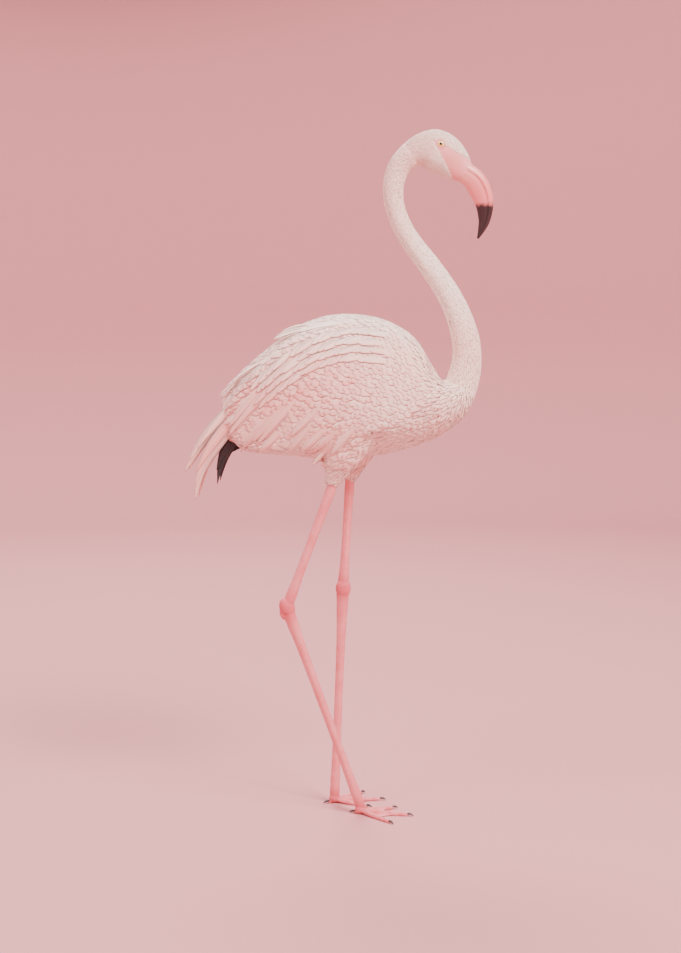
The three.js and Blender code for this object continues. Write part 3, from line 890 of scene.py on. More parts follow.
# %% Where the legs run
FOOT_JOINT = {"right": (37, -32, 14), "left": (-9, 32, 14)}
ANKLE_X = {"right": -92, "left": 6}
ANKLE_Y = 33
TARSUS = 378
THIGH_END = {"right": (-13, -37, 581), "left": (18, 37, 581)}
SHANK_ROOT = 30  # how far the bare shank starts up inside the thigh
# Half sizes of the bones, fore and aft and sideways, at even steps from top to bottom
SHANK_PROFILE = ((8.8, 8), (7.6, 6.8), (6.8, 6), (6.7, 5.8), (7.2, 6.4), (9.6, 8.2))
TARSUS_PROFILE = ((11, 8.6), (7.8, 6.2), (6.7, 5.3), (6.3, 4.9), (6.3, 4.9), (6.8, 5.4), (8.4, 7.4))
# Length with the claw, degrees away from the middle toe towards the bird's midline
TOES = {"inner": (74, 34), "middle": (94, 0), "outer": (82, -38), "hind": (22, 172)}
KNUCKLES = {
    "inner": (0.42, 0.78), "middle": (0.34, 0.62, 0.84), "outer": (0.28, 0.5, 0.7, 0.86), "hind": (0.6,)
}
FOOT_HEADING = 9
CLAW_LENGTH, CLAW_ROOT = 9, 2.5


def hock(side):
    """The ankle joint of that side: a tarsus above the foot."""
    foot = FOOT_JOINT[side]
    reach = math.hypot(ANKLE_X[side] - foot[0], SIDES[side] * ANKLE_Y - foot[1])
    return Vector((ANKLE_X[side], SIDES[side] * ANKLE_Y, foot[2] + math.sqrt(TARSUS**2 - reach**2)))


def toe_reach(toe):
    """A toe's length without its claw."""
    return TOES[toe][0] - CLAW_LENGTH


def toe_point(side, toe, out, over=0.0):
    """The place at a distance out along a toe and over to its left, seen from above."""
    heading = math.radians(-SIDES[side] * (TOES[toe][1] - FOOT_HEADING))
    x = FOOT_JOINT[side][0] + math.cos(heading) * out
    y = FOOT_JOINT[side][1] + math.sin(heading) * out
    return x - math.sin(heading) * over, y + math.cos(heading) * over


print("ankles stand at", {side: round(hock(side).z) for side in SIDES}, "mm")

# %% [markdown]
# A leg bone in its skin isn't round: it's deeper fore and aft than across, and a tendon stands out down
# its back. So a bone is a grid rolled round its own line with a profile for each way, and the knobs of
# the joints are stretched balls.

# %% Bones and joints
def bone(bm, start, end, profile, tendon):
    """A long bone in its skin, with the tendon as a soft ridge down its back."""
    down = (end - start).normalized()
    fore = Vector((0, 1, 0)).cross(down).normalized()
    if fore.x < 0:
        fore.negate()
    sideways = down.cross(fore)

    def place(turn, way):
        fore_aft, wide = smooth_row(profile, way)
        ahead, aside = math.cos(turn * 2 * math.pi), math.sin(turn * 2 * math.pi)
        ridge = tendon * bell(ahead, -1, 0.25)
        hollow = tendon * 0.5 * bell(ahead, -0.55, 0.22)
        point = start.lerp(end, way) + fore * (ahead * (fore_aft + ridge - hollow))
        return at(*(point + sideways * (aside * (wide - hollow))))

    rolled(bm, around=20, along=60, place=place)


def ball(bm, centre, half_sizes, down=Vector((0, 0, -1))):
    """A stretched ball: half sizes fore and aft, sideways and along, the last one along down."""
    turned = Vector((0, 0, -1)).rotation_difference(down).to_matrix().to_4x4()
    size = Matrix.Diagonal((*[half * MM for half in half_sizes], 1))
    matrix = Matrix.Translation(at(*centre)) @ turned @ size
    bmesh.ops.create_uvsphere(bm, u_segments=24, v_segments=16, radius=1, matrix=matrix)


# %% [markdown]
# A flamingo walks on its toes, and a web joins the three front ones. The webs start as flat grids pinched
# together at the foot's joint, with a wavy edge, and are then given a thickness.

# %% Toes and webs
TOE_ROOT_RADIUS, TOE_TIP_RADIUS, TOE_SLIM = 5.2, 3.4, 0.86
HIND_SLIM = 0.8
PAD_SUNK = 0.7  # the toes reach this far under the floor before they are pressed flat on it
WEB_HEIGHT, WEB_THICKNESS = 0.55, 1.5
WEB_REACH, WEB_NOTCH = 0.86, 0.30  # shares of the toes' lengths


def toe_tube(bm, side, toe):
    """A toe with its knuckles, lowered so that its pads press flat on the floor."""
    slim = HIND_SLIM if toe == "hind" else 1.0

    def place(turn, way):
        radius = (TOE_ROOT_RADIUS + (TOE_TIP_RADIUS - TOE_ROOT_RADIUS) * way) * slim * TOE_SLIM
        radius *= 1 + sum(0.15 * bell(way, knuckle, 0.05) for knuckle in KNUCKLES[toe])
        if way > 0.93:
            radius *= math.sqrt(max(1 - ((way - 0.93) / 0.075) ** 2, 0.05))
        height = radius - PAD_SUNK + (1 - way) ** 4 * 4
        angle = turn * 2 * math.pi
        x, y = toe_point(side, toe, way * toe_reach(toe), math.cos(angle) * radius)
        return at(x, y, height + math.sin(angle) * radius)

    rolled(bm, around=16, along=48, place=place)


def web(bm, side, toe, neighbour):
    """The skin between two toes: it sags a little, and its edge curves in between their ends."""
    sheet = bmesh.new()
    bmesh.ops.create_grid(sheet, x_segments=24, y_segments=24, size=0.5)
    for vert in sheet.verts:
        across, out = vert.co.x + 0.5, vert.co.y + 0.5
        reach = WEB_REACH - WEB_NOTCH * math.sin(math.pi * across) ** 0.8
        first, second = (
            Vector(toe_point(side, name, toe_reach(name) * reach * out)) for name in (toe, neighbour)
        )
        arch = 0.9 * abs(2 * across - 1) ** 1.5
        ripple = 0.25 * math.sin(across * math.pi * 5) * out
        vert.co = at(*first.lerp(second, across), WEB_HEIGHT + arch + ripple)
    bmesh.ops.remove_doubles(sheet, verts=sheet.verts, dist=MERGED)
    raised = bmesh.ops.extrude_face_region(sheet, geom=sheet.faces[:], use_keep_orig=True)
    verts = [item for item in raised["geom"] if isinstance(item, bmesh.types.BMVert)]
    bmesh.ops.translate(sheet, verts=verts, vec=Vector((0, 0, WEB_THICKNESS * MM)))
    bmesh.ops.recalc_face_normals(sheet, faces=sheet.faces)
    poured(bm, sheet)


# %% [markdown]
# The ankle is what looks like a knee that bends backwards. It's a thick knob with a bump on each side and
# the tendon's heel behind. Its skin is redder than the rest of the leg's, and so are the knuckles, which
# the `joint` attribute tells the finish.

# %% One skin for each leg
LEG_VOXEL = 1.0 * MM
ANKLE_REACH, FOOT_REACH, KNUCKLE_REACH = 26, 15, 6  # how far the joints' redder skin spreads


def redness(places, centre, reach):
    """How near places are to a joint: 1 at its centre."""
    far = np.linalg.norm(places - np.array(at(*centre)), axis=1) / MM
    return np.exp(-((far / reach) ** 2))


def leg_shape(side, ankle, foot):
    """The closed shapes of a leg, before they are fused."""
    thigh_end = Vector(THIGH_END[side])
    up = (thigh_end - ankle).normalized()
    down = (foot - ankle).normalized()
    bm = bmesh.new()
    bone(bm, thigh_end + up * SHANK_ROOT, ankle, SHANK_PROFILE, 0.9)
    bone(bm, ankle, foot, TARSUS_PROFILE, 1.0)
    ball(bm, ankle, (13.6, 10.0, 18), down)
    for turn in (-1, 1):
        ball(bm, ankle + Vector((1.5, turn * 5.0, -3)), (9.0, 5.0, 11), down)
    ball(bm, ankle + Vector((-6.5, 0, -12)), (6.0, 5.2, 11), down)
    ball(bm, foot + Vector((-1, 0, -5.5)), (9.6, 8.6, 8.4))
    for toe in TOES:
        toe_tube(bm, side, toe)
    web(bm, side, "inner", "middle")
    web(bm, side, "middle", "outer")
    return bm


def leg(side):
    """A whole leg as one piece; it gives back a tree of its skin for the plates."""
    ankle, foot = hock(side), Vector(FOOT_JOINT[side])
    mesh = fused(f"leg_{side}_skin", leg_shape(side, ankle, foot), LEG_VOXEL)
    bm = bmesh_of(mesh)
    for _ in range(3):
        smoothed(bm, bm.verts)
    for vert in bm.verts:
        vert.co.z = max(vert.co.z, 0.0)
    bmesh.ops.recalc_face_normals(bm, faces=bm.faces)
    bm.to_mesh(mesh)
    tree = BVHTree.FromBMesh(bm)
    bm.free()
    places = places_of(mesh)
    joint = np.maximum(redness(places, ankle, ANKLE_REACH), redness(places, foot, FOOT_REACH))
    for toe in TOES:
        for knuckle in KNUCKLES[toe]:
            centre = (*toe_point(side, toe, knuckle * toe_reach(toe)), 5)
            joint = np.maximum(joint, 0.7 * redness(places, centre, KNUCKLE_REACH))
    set_numbers(mesh, "joint", joint)
    settle(mesh, LEG, "leg_skin", [f"{part}_{side}" for part in ("shank", "ankle", "tarsus", "foot")])
    return tree


LEG_TREES = {side: leg(side) for side in SIDES}

# %% [markdown]
# The claws are short and blunt, and bend down at the point. One table gives the form of all eight, and a
# toe's own heading turns it.

# %% Claws
# Share of the length, height over the floor, half height, half width
CLAW_ROWS = (
    (0, 4, 1.5, 1.6), (0.35, 4.3, 2.1, 2.2), (0.7, 3.1, 1.5, 1.7), (0.9, 1.9, 0.9, 1.0), (1, 1.2, 0.12, 0.15)
)


def claw(bm, side, toe):
    """One claw, rooted a little way inside its toe."""

    def place(turn, way):
        along, height, high, wide = smooth_row(CLAW_ROWS, way)
        out = toe_reach(toe) - CLAW_ROOT + along * (CLAW_LENGTH + CLAW_ROOT)
        angle = turn * 2 * math.pi
        x, y = toe_point(side, toe, out, math.cos(angle) * wide)
        return at(x, y, max(height + max(math.sin(angle), -0.7) * high, 0.02))

    rolled(bm, around=16, along=20, place=place)


claws = bmesh.new()
for side in SIDES:
    for toe in TOES:
        claw(claws, side, toe)
claw_nodes = [f"claw_{toe}_{side}" for toe in TOES for side in SIDES]
settle(mesh_of("toe_claws", claws), CLAW, "claw", claw_nodes)

# %% [markdown]
# ## How a feather is made
# A feather is a closed blade: a row of flat sections along a spine, a little hollow underneath and thin
# at the edges. Tens of thousands of them are needed, so all the blades of one group are worked out
# together as arrays and written into one mesh. Only the spines differ: every one starts at its own root
# on the skin and follows the skin's curve. Particle hair or instances would be lighter to make, but they
# don't travel in an exported mesh.

# %% Sections of a blade
# Corners round a section: across from -1 to 1, share of the arch, and top (1), edge (0) or underside (-1)
SECTIONS = {
    4: ((-1, 0, 0), (0, 1, 1), (1, 0, 0), (0, 1, -1)),
    6: ((-1, 0, 0), (-0.45, 0.8, 1), (0.45, 0.8, 1), (1, 0, 0), (0.45, 0.8, -1), (-0.45, 0.8, -1)),
    8: (
        (-1, 0, 0), (-0.5, 0.75, 0.9), (0, 1, 1.6), (0.5, 0.75, 0.9),
        (1, 0, 0), (0.5, 0.75, -1), (0, 1, -1), (-0.5, 0.75, -1),
    ),
}
BAKE_PATCH = 0.003  # how much of the bake's square a feather takes up
THINNING = ((0, 0.7, 1), (1, 0.8, 0.35))  # shares of the length, thickness there


def unit(vectors):
    """Vectors of length one."""
    return vectors / np.maximum(np.linalg.norm(vectors, axis=-1, keepdims=True), 1e-12)


def blade_places(spines, normals, widths, ring, arch, thickness):
    """Corners of all blades (n, k, section, 3) round spines (n, k, 3)."""
    along = unit(np.gradient(spines, axis=1))
    across = unit(np.cross(normals, along))[:, :, None]
    up = unit(np.cross(along, across[:, :, 0]))[:, :, None]
    taper = np.interp(np.linspace(0, 1, spines.shape[1]), *THINNING)[None, :, None, None]
    widths = widths[:, :, None, None]
    sideways, arched, sheet = (ring[None, None, :, i : i + 1] for i in range(3))
    lifted = widths * arch * arched + thickness * MM * taper * sheet
    return spines[:, :, None] + across * widths * sideways + up * lifted


def blade_faces(count, steps, section):
    """Vertex numbers of all faces in one row, and how many corners each face has."""
    corner = (np.arange(count)[:, None, None] * steps + np.arange(steps - 1)[None, :, None]) * section
    turn = np.arange(section)[None, None, :]
    after = (turn + 1) % section
    quads = [corner + turn, corner + after, corner + section + after, corner + section + turn]
    first = np.arange(count)[:, None] * steps * section
    root_cap, tip_cap = first + np.arange(section)[::-1], first + (steps - 1) * section + np.arange(section)
    loops = np.concatenate([np.stack(quads, -1).ravel(), np.concatenate([root_cap, tip_cap]).ravel()])
    return loops, np.repeat([4, section], [corner.size * section, 2 * count])


def laid(name, material, slot, spines, normals, widths, look, section, arch, thickness, replaces=()):
    """Makes closed blades along spines a piece; look holds flush, shade and bake place for each blade."""
    spines, normals = np.asarray(spines), np.broadcast_to(normals, np.shape(spines))
    count, steps = spines.shape[:2]
    ring = np.array(SECTIONS[section], float)
    places = blade_places(spines, normals, widths, ring, arch, thickness)
    loops, sides = blade_faces(count, steps, section)
    mesh = bpy.data.meshes.new(name)
    mesh.vertices.add(count * steps * section)
    mesh.vertices.foreach_set("co", places.reshape(-1).astype(np.float32))
    mesh.loops.add(len(loops))
    mesh.loops.foreach_set("vertex_index", loops.astype(np.int32))
    mesh.polygons.add(len(sides))
    mesh.polygons.foreach_set("loop_start", (np.cumsum(sides) - sides).astype(np.int32))
    mesh.update(calc_edges=True)
    way = np.broadcast_to(np.linspace(0, 1, steps)[None, :, None], (count, steps, section))
    vane = np.stack([np.broadcast_to((ring[:, 0] + 1) / 2, way.shape), way], -1)
    bake = look["bake"][:, None, None] + BAKE_PATCH * (vane - 0.5)
    for title, values in (("OFBake", bake), ("vane", vane)):
        layer = mesh.uv_layers.new(name=title)
        layer.data.foreach_set("uv", values.reshape(-1, 2)[loops].reshape(-1).astype(np.float32))
    for title in ("flush", "shade"):
        set_numbers(mesh, title, np.repeat(look[title], steps * section))
    mesh.validate()
    print(count, "blades in", end=" ")
    settle(mesh, material, slot, replaces)
    return mesh


# %% [markdown]
# ## The lie of the plumage
# Feathers lie back from the bill, over the head and down the neck, then spread back over the breast and
# mantle, run along the body to the tail, and hang down the thighs. On the head and neck the lie follows
# the neck's own curve. On the body it's blended from a few listed arrows, the way a sculptor would
# sketch it.

# %% Guide line and combing arrows
# x, z down the middle of the neck and head, from the root of the neck to the bill
NECK_LINE = (
    (150, 702), (188, 726), (211, 757), (220.5, 792), (218.5, 836), (198.5, 894), (163, 951), (120, 1007),
    (98.8, 1049), (91.4, 1089), (99.5, 1126), (119.5, 1148.5), (141, 1158), (162, 1158), (180, 1149.5),
    (195, 1138), (216, 1120),
)
# x, z, degrees below straight back, reach
ARROWS = (
    (238, 770, 82, 30), (230, 735, 66, 34), (205, 705, 42, 36), (150, 672, 14, 44), (60, 645, 2, 60),
    (-40, 640, -4, 60), (-130, 655, 6, 50), (190, 775, 62, 22), (155, 795, -30, 28), (110, 835, -24, 36),
    (40, 868, -4, 44), (-50, 862, 14, 44), (-120, 822, 28, 42), (-180, 765, 40, 42), (-225, 690, 46, 44),
    (185, 745, 35, 30), (130, 760, 2, 50), (60, 760, 6, 56), (-30, 750, 16, 56), (-110, 735, 28, 52),
    (-170, 690, 38, 46), (40, 690, 30, 36), (25, 650, 68, 30), (5, 605, 80, 30),
)
BLOCK = 4000  # places are held against a line in blocks, which keeps the arrays small

neck_points = smooth_line(NECK_LINE, 240, 1.0, 0.0)
neck_ways = unit(np.gradient(neck_points, axis=0))


def nearest_on(line, side_places):
    """The index of the line's nearest point to each place seen from the side."""
    blocks = np.array_split(side_places, max(len(side_places) // BLOCK, 1))
    return np.concatenate([((block[:, None] - line[None]) ** 2).sum(-1).argmin(1) for block in blocks])


def along_neck(side_places):
    """How far down the neck's line places lie (0 bill, 1 root), how far off it, and the way it runs there."""
    nearest = nearest_on(neck_points, side_places)
    far_off = np.linalg.norm(side_places - neck_points[nearest], axis=1)
    return nearest / (len(neck_points) - 1), far_off, neck_ways[nearest]


def lie(places):
    """The way the feathers lie at places on the skin, before it is turned into the skin's own plane."""
    side_places = side_view(places)
    share, far_off, neck_way = along_neck(side_places)
    arrows = np.array(ARROWS, float)
    angles = np.radians(arrows[:, 2])
    headings = np.stack([-np.cos(angles), -np.sin(angles)], -1)
    far = ((side_places[:, None] - arrows[None, :, :2]) ** 2).sum(-1) / arrows[None, :, 3] ** 2
    pull = np.exp(-far) + 1e-6 / (1 + far)
    body = unit((pull[..., None] * headings[None]).sum(1))
    near_neck = np.where(share < 0.34, 1.0, 1 - soft_step(far_off, 30, 44))
    on_neck = ((1 - soft_step(share, 0.80, 0.93)) * near_neck)[:, None]
    flat = unit(on_neck * neck_way + (1 - on_neck) * body)
    return np.stack([flat[:, 0], np.zeros(len(flat)), flat[:, 1]], -1)


print("the neck's line is", round(np.linalg.norm(np.diff(neck_points, axis=0), axis=1).sum()), "mm long")

# %% [markdown]
# A tuft's bake patch sits where its root lies on an unwrap of the skin: how far along the line from bill
# to tail, and how far round that line. The thighs branch off, so they have a strip of their own.

# %% Unwrap of the skin for roots
BODY_LINE = (
    (216, 1121), (162, 1158), (92.5, 1089), (164, 951), (219, 836), (208, 757),
    (150, 745), (60, 750), (-60, 750), (-150, 715), (-243, 650),
)
THIGH_TOP = 632
body_line = smooth_line(BODY_LINE, 400)
line_ways = unit(np.gradient(body_line, axis=0))


def bake_place(roots):
    """Where roots lie on the unwrap, both ways from 0 to 1."""
    side_places = side_view(roots)
    (x, z), y = side_places.T, roots[:, 1] / MM
    nearest = nearest_on(body_line, side_places)
    off = side_places - body_line[nearest]
    over = line_ways[nearest, 0] * off[:, 1] - line_ways[nearest, 1] * off[:, 0]
    turn = np.arctan2(y, over) / (2 * math.pi) + 0.5
    along = 0.02 + 0.80 * nearest / (len(body_line) - 1) + 0.0005 * np.abs(y)
    on_thigh = z < THIGH_TOP
    along = np.where(on_thigh, 0.90 + 0.0012 * (z - 570), along)
    turn = np.where(on_thigh, 0.5 + 0.005 * (x - 10) + 0.18 * np.sign(y), turn)
    return np.stack([along, 0.01 + 0.98 * turn], -1)


def look_of(roots, flush_add=0.0, shade_spread=0.03):
    """Flush, shade and bake place for feathers with these roots, each a little different."""
    flush = flush_at(side_view(roots)) + flush_add + dice.normal(0, 0.05, len(roots))
    return {
        "flush": np.clip(flush, 0, 1),
        "shade": dice.normal(0, shade_spread, len(roots)),
        "bake": bake_place(roots),
    }


# %% [markdown]
# ## Sowing and combing
# Roots are sown over the skin at random but never closer than a set spacing, which looks natural and
# leaves no holes. Many more points are thrown than will fit, and each one that is kept clears the others
# round it.

# %% Sow roots
SOW_MOST = 6.0  # points thrown for each square of the spacing
skin_mesh.calc_loop_triangles()
corners = rows_of(skin_mesh.loop_triangles, "vertices", 3, np.int32)
triangles = places_of(skin_mesh)[corners]
facing = np.cross(triangles[:, 1] - triangles[:, 0], triangles[:, 2] - triangles[:, 0])
areas = np.linalg.norm(facing, axis=1) / 2
facing = unit(facing)


def sown(spacing, where):
    """Roots on the skin at least spacing (millimetres) apart, where(side_places, places) allows them."""
    middles = triangles.mean(1)
    usable = np.flatnonzero(where(side_view(middles), middles))
    weights = areas[usable]
    count = int(weights.sum() / (spacing * MM) ** 2 * SOW_MOST)
    picked = usable[dice.choice(len(usable), count, p=weights / weights.sum())]
    first, second = dice.random((2, count, 1)) ** np.array([[[0.5]], [[1.0]]])
    a, b, c = triangles[picked].transpose(1, 0, 2)
    points = (1 - first) * a + first * (1 - second) * b + first * second * c
    tree = KDTree(count)
    for index, point in enumerate(points):
        tree.insert(point, index)
    tree.balance()
    free = np.ones(count, bool)
    kept = []
    for index in range(count):
        if free[index]:
            kept.append(index)
            for _, other, _ in tree.find_range(points[index], spacing * MM):
                free[other] = False
    return points[kept], facing[picked[kept]]


print("skin to sow on:", round(areas.sum(), 3), "square metres")

# %% [markdown]
# Combing walks each spine over the skin in short steps, and lifts it from the root to the height the tip
# lies at. Where the skin falls away, the feather runs on straight, as a stiff vane does.

# %% Comb spines
OVERHANG = 0.3  # share of a step that the skin may fall away
ROUND_TIP = ((0, 0.35), (0.25, 0.8), (0.55, 1.0), (0.8, 0.86), (0.93, 0.5), (1, 0.12))
SOFT_TIP = ((0, 0.5), (0.4, 1.0), (0.75, 0.75), (1, 0.12))
POINTED = ((0, 0.4), (0.3, 0.9), (0.55, 1.0), (0.75, 0.82), (0.9, 0.45), (1, 0.08))
LONG_TIP = ((0, 0.4), (0.2, 0.85), (0.5, 1.0), (0.75, 0.8), (0.9, 0.5), (1, 0.06))


def combed(roots, headings, lengths, steps, low, high, tree=SKIN_TREE):
    """Spines and their normals over the skin, lifted from low at the root to high at the tip."""
    spines = np.empty((len(roots), steps, 3))
    normals = np.empty((len(roots), steps, 3))
    lift = (low + (high - low) * np.linspace(0, 1, steps) ** 0.8) * MM
    for i, (place, heading) in enumerate(zip(map(Vector, roots), map(Vector, headings))):
        stride = lengths[i] * MM / (steps - 1)
        normal = None
        for step in range(steps):
            near, facing_out, _, _ = tree.find_nearest(place)
            if normal is not None and (place - near).dot(facing_out) > OVERHANG * stride:
                near = place
            else:
                normal = facing_out
            spines[i, step] = near + normal * lift[step]
            normals[i, step] = normal
            heading -= normal * heading.dot(normal)
            heading.normalize()
            place = near + heading * stride
    return spines, normals


def swung(headings, normals, spread):
    """Headings each turned by a random angle (degrees) about its normal."""
    angles = np.radians(dice.normal(0, spread, len(headings)))[:, None]
    return unit(headings * np.cos(angles) + np.cross(normals, headings) * np.sin(angles))


def tapered(steps, profile, half_widths):
    """Half widths along each blade in metres from a profile of (share, width) pairs."""
    return np.asarray(half_widths)[:, None] * MM * np.interp(np.linspace(0, 1, steps), *zip(*profile))[None]


def tufts(name, material, spacing, where, sizes, steps, lift, profile, swing, **shape):
    """Sows, combs and lays one group of small feathers; sizes(side_places) gives lengths and half widths."""
    roots, normals = sown(spacing, where)
    headings = swung(lie(roots), normals, swing)
    size = dice.normal(1.0, 0.1, len(roots)).clip(0.7, 1.35)
    lengths, half_widths = sizes(side_view(roots))
    spines, up = combed(roots, headings, lengths * size, steps, *lift)
    widths = tapered(steps, profile, half_widths * size)
    laid(name, material, "body_plumage", spines, up, widths, look_of(roots, shade_spread=0.035), **shape)


# %% [markdown]
# ## Head and neck
# The head's feathers are so short that they read as velvet. They leave the eye ring and the skin before
# the eye bare, and stop along a clean line. Down the neck they grow slowly longer.

# %% Velvet of the head and neck
def on_head(side_places, places):
    """The feathered head: behind the bare face, down to the nape."""
    share, _, _ = along_neck(side_places)
    return (share < 0.30) & (side_places[:, 1] > BARE_FROM) & (bareness(side_places) < 0.35)


def on_neck(low, high):
    """A length of the neck, by its share of the way down from the bill."""

    def where(side_places, places):
        x, z = side_places.T
        share, far_off, _ = along_neck(side_places)
        return (share >= low) & (share < high) & (z > 745) & (far_off < 60) & (x > 60)

    return where


def even(length, half_width):
    """The same length and half width for every feather."""
    return lambda side_places: (np.full(len(side_places), length), np.full(len(side_places), half_width))


# Name, spacing, where, length, half width, steps, lift at the tip, swing, thickness
VELVET = (
    ("head_velvet", 1.2, on_head, 5.2, 1.1, 3, 0.5, 6, 0.09),
    ("neck_velvet_upper", 1.65, on_neck(0.30, 0.60), 10.0, 1.65, 4, 0.75, 5, 0.1),
    ("neck_velvet_lower", 2.0, on_neck(0.60, 0.90), 13.0, 2.1, 4, 0.95, 5, 0.12),
)
for name, spacing, where, length, wide, steps, high, swing, thick in VELVET:
    shape = {"section": 4, "arch": 0.25, "thickness": thick}
    tufts(name, DOWN, spacing, where, even(length, wide), steps, (0.05, high), SOFT_TIP, swing, **shape)

# %% [markdown]
# ## Body feathers
# Contour feathers clothe the breast, back, flanks and belly. Each is a thin blade that overlaps the ones
# behind it by most of its length, so the coat reads as soft. The sides of the body are left free, because
# the folded wing lies over them. The lowest feathers of the thighs hang past the skin's end as a cuff.

# %% Breast, back, belly and thighs
# x, top and bottom of the folded wing, seen from the side
WING_EDGE = np.array([
    (154, 772, 742), (146, 806, 716), (110, 848, 692), (60, 868, 672), (0, 866, 656),
    (-60, 846, 646), (-115, 806, 640), (-160, 766, 642), (-188, 735, 662), (-198, 712, 684),
])[::-1].astype(float)
WING_REAR, WING_FRONT = WING_EDGE[0, 0], WING_EDGE[-1, 0]
FRONT_FROM = 20  # the trunk's feathers are two pieces that meet here
THIGH_CUFF = (590, 634)
BELLY = 628
BODY_X = (-200, -60, 150, 235)  # from tail to breast, and the lengths and half widths there
BODY_LENGTHS, BODY_WIDTHS = (40, 34, 27, 18), (5.8, 5.4, 4.2, 2.8)


def wing_top(x):
    """Height of the folded wing's upper edge."""
    return np.interp(x, WING_EDGE[:, 0], WING_EDGE[:, 1])


def inside_wing(side_places, margin):
    """Whether places lie farther inside the folded wing's outline than a margin."""
    x, z = side_places[..., 0], side_places[..., 1]
    low = np.interp(x, WING_EDGE[:, 0], WING_EDGE[:, 2])
    level = (z < wing_top(x) - margin) & (z > low + margin)
    return level & (x > WING_REAR + margin) & (x < WING_FRONT - margin)


def on_body(front):
    """The front or the rear of the trunk, without the sides that the wings cover."""

    def where(side_places, places):
        x, z = side_places.T
        share, far_off, _ = along_neck(side_places)
        under_wing = inside_wing(side_places, 30) & (np.abs(places[:, 1]) > 40 * MM)
        trunk = (share > 0.87) | ((far_off > 38) & (z < 890))
        return trunk & (z > BELLY) & ~under_wing & ((x > FRONT_FROM) == front)

    return where


def on_thighs(side_places, places):
    """The feathered lower thighs."""
    z = side_places[:, 1]
    return (z <= THIGH_CUFF[1]) & (z > THIGH_CUFF[0])


def body_sizes(side_places):
    """Feathers are short at the neck's root and on the breast, and longer towards the tail."""
    return [np.interp(side_places[:, 0], BODY_X, sizes) for sizes in (BODY_LENGTHS, BODY_WIDTHS)]


# Name, spacing, where, sizes, lift at root and tip
CONTOURS = (
    ("breast_contour", 4.3, on_body(True), body_sizes, (-0.8, 2.3)),
    ("back_contour", 4.3, on_body(False), body_sizes, (-0.8, 2.3)),
    ("thigh_contour", 3.2, on_thighs, even(17.0, 2.3), (-0.5, 1.5)),
)
CONTOUR_SHAPE = {"steps": 5, "profile": POINTED, "swing": 6, "section": 6, "arch": 0.06, "thickness": 0.16}
for name, spacing, where, sizes, lift in CONTOURS:
    tufts(name, CONTOUR, spacing, where, sizes, lift=lift, **CONTOUR_SHAPE)

# %% [markdown]
# ## The folded wing
# Over the folded wing the feathers lie in staggered rows like roof tiles: small coverts in front, then
# larger ones row by row towards the rear. The rows are laid out on the bird's side as it's seen from the
# side, and each root is carried straight inwards to the skin.

# %% Coverts in rows
WING_FLOW = 24  # degrees that the rows' way slants down towards the rear
WING_SHOULDER = np.array([150.0, 760.0])
WING_REACH = 350
ROW_STEP, ROW_GROWTH = 6.0, 6.5  # from row to row, and how much that grows over the wing's length
GAP, GAP_GROWTH = 6.4, 6.6  # the same from feather to feather
COVERT_STEPS = 7


def cast(side, x, z):
    """The skin's place and normal under a point seen from the side, or nothing off the body's side."""
    way = SIDES[side]
    place, normal, _, _ = SKIN_TREE.ray_cast(at(x, way * 300, z), Vector((0, -way, 0)))
    if place is None or abs(normal.y) < 0.3 or place.y * way < 12 * MM:
        return None
    return place, normal


def covert_lattice():
    """Staggered places in rows across the wing: x, z and how far back the row is, from 0 to 1."""
    angle = math.radians(WING_FLOW)
    along = np.array([-math.cos(angle), -math.sin(angle)])
    over = np.array([-math.sin(angle), math.cos(angle)])
    spots = []
    reach, row = 4.0, 0
    while reach < WING_REACH:
        share = reach / WING_REACH
        gap = GAP + GAP_GROWTH * share
        for step in np.arange(-180, 180, gap):
            spot = WING_SHOULDER + along * reach + over * (step + gap / 2 * (row % 2))
            if inside_wing(spot[None], 3.0)[0]:
                spots.append((*spot, share))
        reach += ROW_STEP + ROW_GROWTH * share
        row += 1
    return np.array(spots)


def folded_wing(side):
    """The rows of coverts on one side."""
    spots = covert_lattice()
    spots[:, :2] += dice.normal(0, 0.8, (len(spots), 2))
    found = [(cast(side, x, z), share) for x, z, share in spots]
    found = [(*hit, share) for hit, share in found if hit]
    roots, normals, share = (np.array(column) for column in zip(*found))
    headings = swung(lie(roots), normals, 3)
    lengths = (20 + 32 * share) * dice.normal(1, 0.07, len(share))
    spines, up = combed(roots, headings, lengths, COVERT_STEPS, 0.6, 2.5)
    widths = tapered(COVERT_STEPS, ROUND_TIP, 5.0 + 4.8 * share)
    laid(
        f"coverts_{side}", COVERT, "wing_plumage", spines, up, widths, look_of(roots, 0.06),
        section=8, arch=0.035, thickness=0.16,
    )


for side in SIDES:
    folded_wing(side)

# %% [markdown]
# Over the coverts hang the scapulars: long soft plumes from the shoulder that end in points. A few of
# them end the bird's outline, so their spines are listed one by one, as seen from the side.

# %% Scapulars and single plumes
PLUME_STEPS = 12
# How far down from the wing's upper edge, length and number of the plumes in each row
SCAPULAR_ROWS = ((58, 58, 12), (44, 60, 14), (30, 58, 16), (16, 52, 17))
SCAPULAR_FRONT, SCAPULAR_SPAN = 104, 204
SCAPULAR_WIDTH = 6.2
